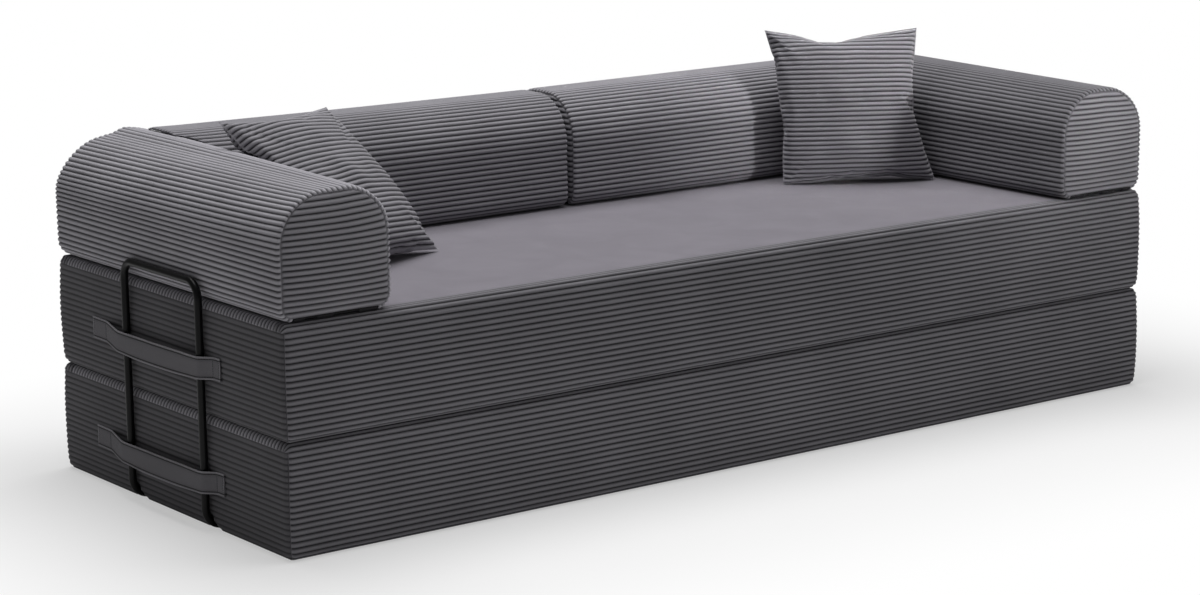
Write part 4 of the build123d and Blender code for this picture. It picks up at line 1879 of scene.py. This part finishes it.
    def lamp(
        self,
        name: str,
        at: tuple[float, float, float],
        aim: tuple[float, float, float],
        size: float,
        power: float,
    ) -> bpy.types.Object:
        """Hang one square soft light.

        Args:
            name: The lamp's name.
            at: Its place in metres.
            aim: The point that it faces, in metres.
            size: Its side in metres.
            power: Its power in watts.

        Returns:
            The lamp.
        """
        data = bpy.data.lights.new(name, "AREA")
        data.shape = "SQUARE"
        data.size = size
        data.energy = power
        lamp = put(name, data)
        lamp.location = at
        lamp.rotation_euler = (Vector(aim) - Vector(at)).to_track_quat("-Z", "Y").to_euler()
        return lamp

    def build(self) -> None:
        """Set the whole stage."""
        self.camera()
        self.floor()
        self.world()
        self.lamp("overhead_softbox", (0.05, 0.2, 3.6), (0.0, 0.0, 0.3), size=3.2, power=122.0)
        self.lamp("right_front_softbox", (3.4, -2.6, 2.6), (0.3, 0.0, 0.4), size=1.4, power=4.5)
        low = self.lamp(
            "right_low_softbox", (1.9, -3.4, 0.95), (0.68, 0.1, 0.66), size=0.5, power=0.75
        )
        low.data.spread = math.radians(12)
        bpy.context.scene.view_settings.view_transform = "Standard"


def save_sizes(before: object, after: object) -> None:
    """Args:
        before: The frame's box.
        after: The dressed part's box.
    """

    def plain(box: object) -> object:
        """Turn the vectors inside a box into lists.

        Args:
            box: A box, a vector or a number.

        Returns:
            The same as lists of numbers.
        """
        if hasattr(box, "__len__") and not isinstance(box, (str, float, int)):
            return [plain(part) for part in box]
        return float(box)

    {"cad": plain(before), "visual": plain(after)}


def main() -> None:
    """Build every piece in order and say what was made."""
    logging.basicConfig(level=logging.INFO, format="%(message)s")
    Stage().build()
    finishes = Finishes()
    legs = (-138.0, 120.0)  # where the brackets' legs stand, from front to back
    arm_x, back_y = 890.0, 290.0  # the middles of the armrests and of the bolsters
    left, right = Neighbour(0, -arm_x, top_radius=47.0), Neighbour(0, arm_x)
    back = Neighbour(1, back_y)
    made = [
        Pad("base", "base_pad", 0.0, finishes, legs=legs).build(),
        Pad("seat", "seat_pad", SEAT_BOTTOM, finishes).build(),
        # The blocks' nap factors are painted light and shade: the left armrest painted lighter,
        # the right armrest darker, the end panels a little darker
        Block(
            "armrest_left", finishes, length=800.0, middle=(-arm_x, 0.0), turn=90.0,
            seed=1.0, nap=1.35, end_painted_shade=0.95, rise=(0.0, -2.0), slump=20.0, square=0.6, heave=9.5,
        ).build(),
        Block(
            "armrest_right", finishes, length=800.0, middle=(arm_x, 0.0), turn=-90.0,
            seed=5.0, nap=0.68, end_painted_shade=0.85, rise=(9.0, -2.0), slump=7.0,
        ).build(),
        Block(
            "bolster_left", finishes, length=783.0, middle=(-384.5, back_y), turn=0.0,
            seed=9.0, nap=0.95, end_painted_shade=0.9, rise=(13.0, 3.0), crown=5.0, roll=6.0,
            snug=End.LEFT, snug_reach=62.0, square=0.6, heave=8.0,
        ).build(),
        Block(
            "bolster_right", finishes, length=765.0, middle=(393.5, back_y), turn=0.0,
            seed=13.0, nap=1.05, end_painted_shade=0.95, rise=(4.0, 5.0), crown=5.0, roll=8.0,
            snug=End.RIGHT, heave=9.5,
        ).build(),
        Pillow(
            "pillow_left", finishes, middle=(-645.0, 12.0, 534.0), turn=22.6, lean=40.4, seed=1.0,
            neighbours=(left, back), wide=308.0, tall=334.0, skew=-55.0, roll=3.0,
        ).build(),
        Pillow(
            "pillow_right", finishes, middle=(628.0, 64.0, 551.0), turn=-30.0, lean=9.0, seed=2.6,
            neighbours=(right, back), wide=316.0, tall=320.0, skew=-32.0,
        ).build(),
    ]
    for pad, bottom in (("base", 0.0), ("seat", SEAT_BOTTOM)):
        made += [StrapHandle(pad, end, bottom, finishes).build() for end in End]
    x, y, z = np.eye(3)
    zips = [("base", x, y), ("seat", x, y), ("armrest_left", y, -z), ("armrest_right", y, -z)]
    zips += [("bolster_left", x, -z), ("bolster_right", x, -z)]
    for cover, (name, along, out) in zip(made, zips):
        made.append(ZipTeeth(f"{name}_zip", cover, along, out, finishes).build())
    made += FramePieces(finishes, frame["nodes"]).build()
    for piece in made:
        log.info("%s: %d faces", piece.name, len(piece.data.polygons))
    save_sizes(cad_box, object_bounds())


if __name__ == "__main__":
    main()
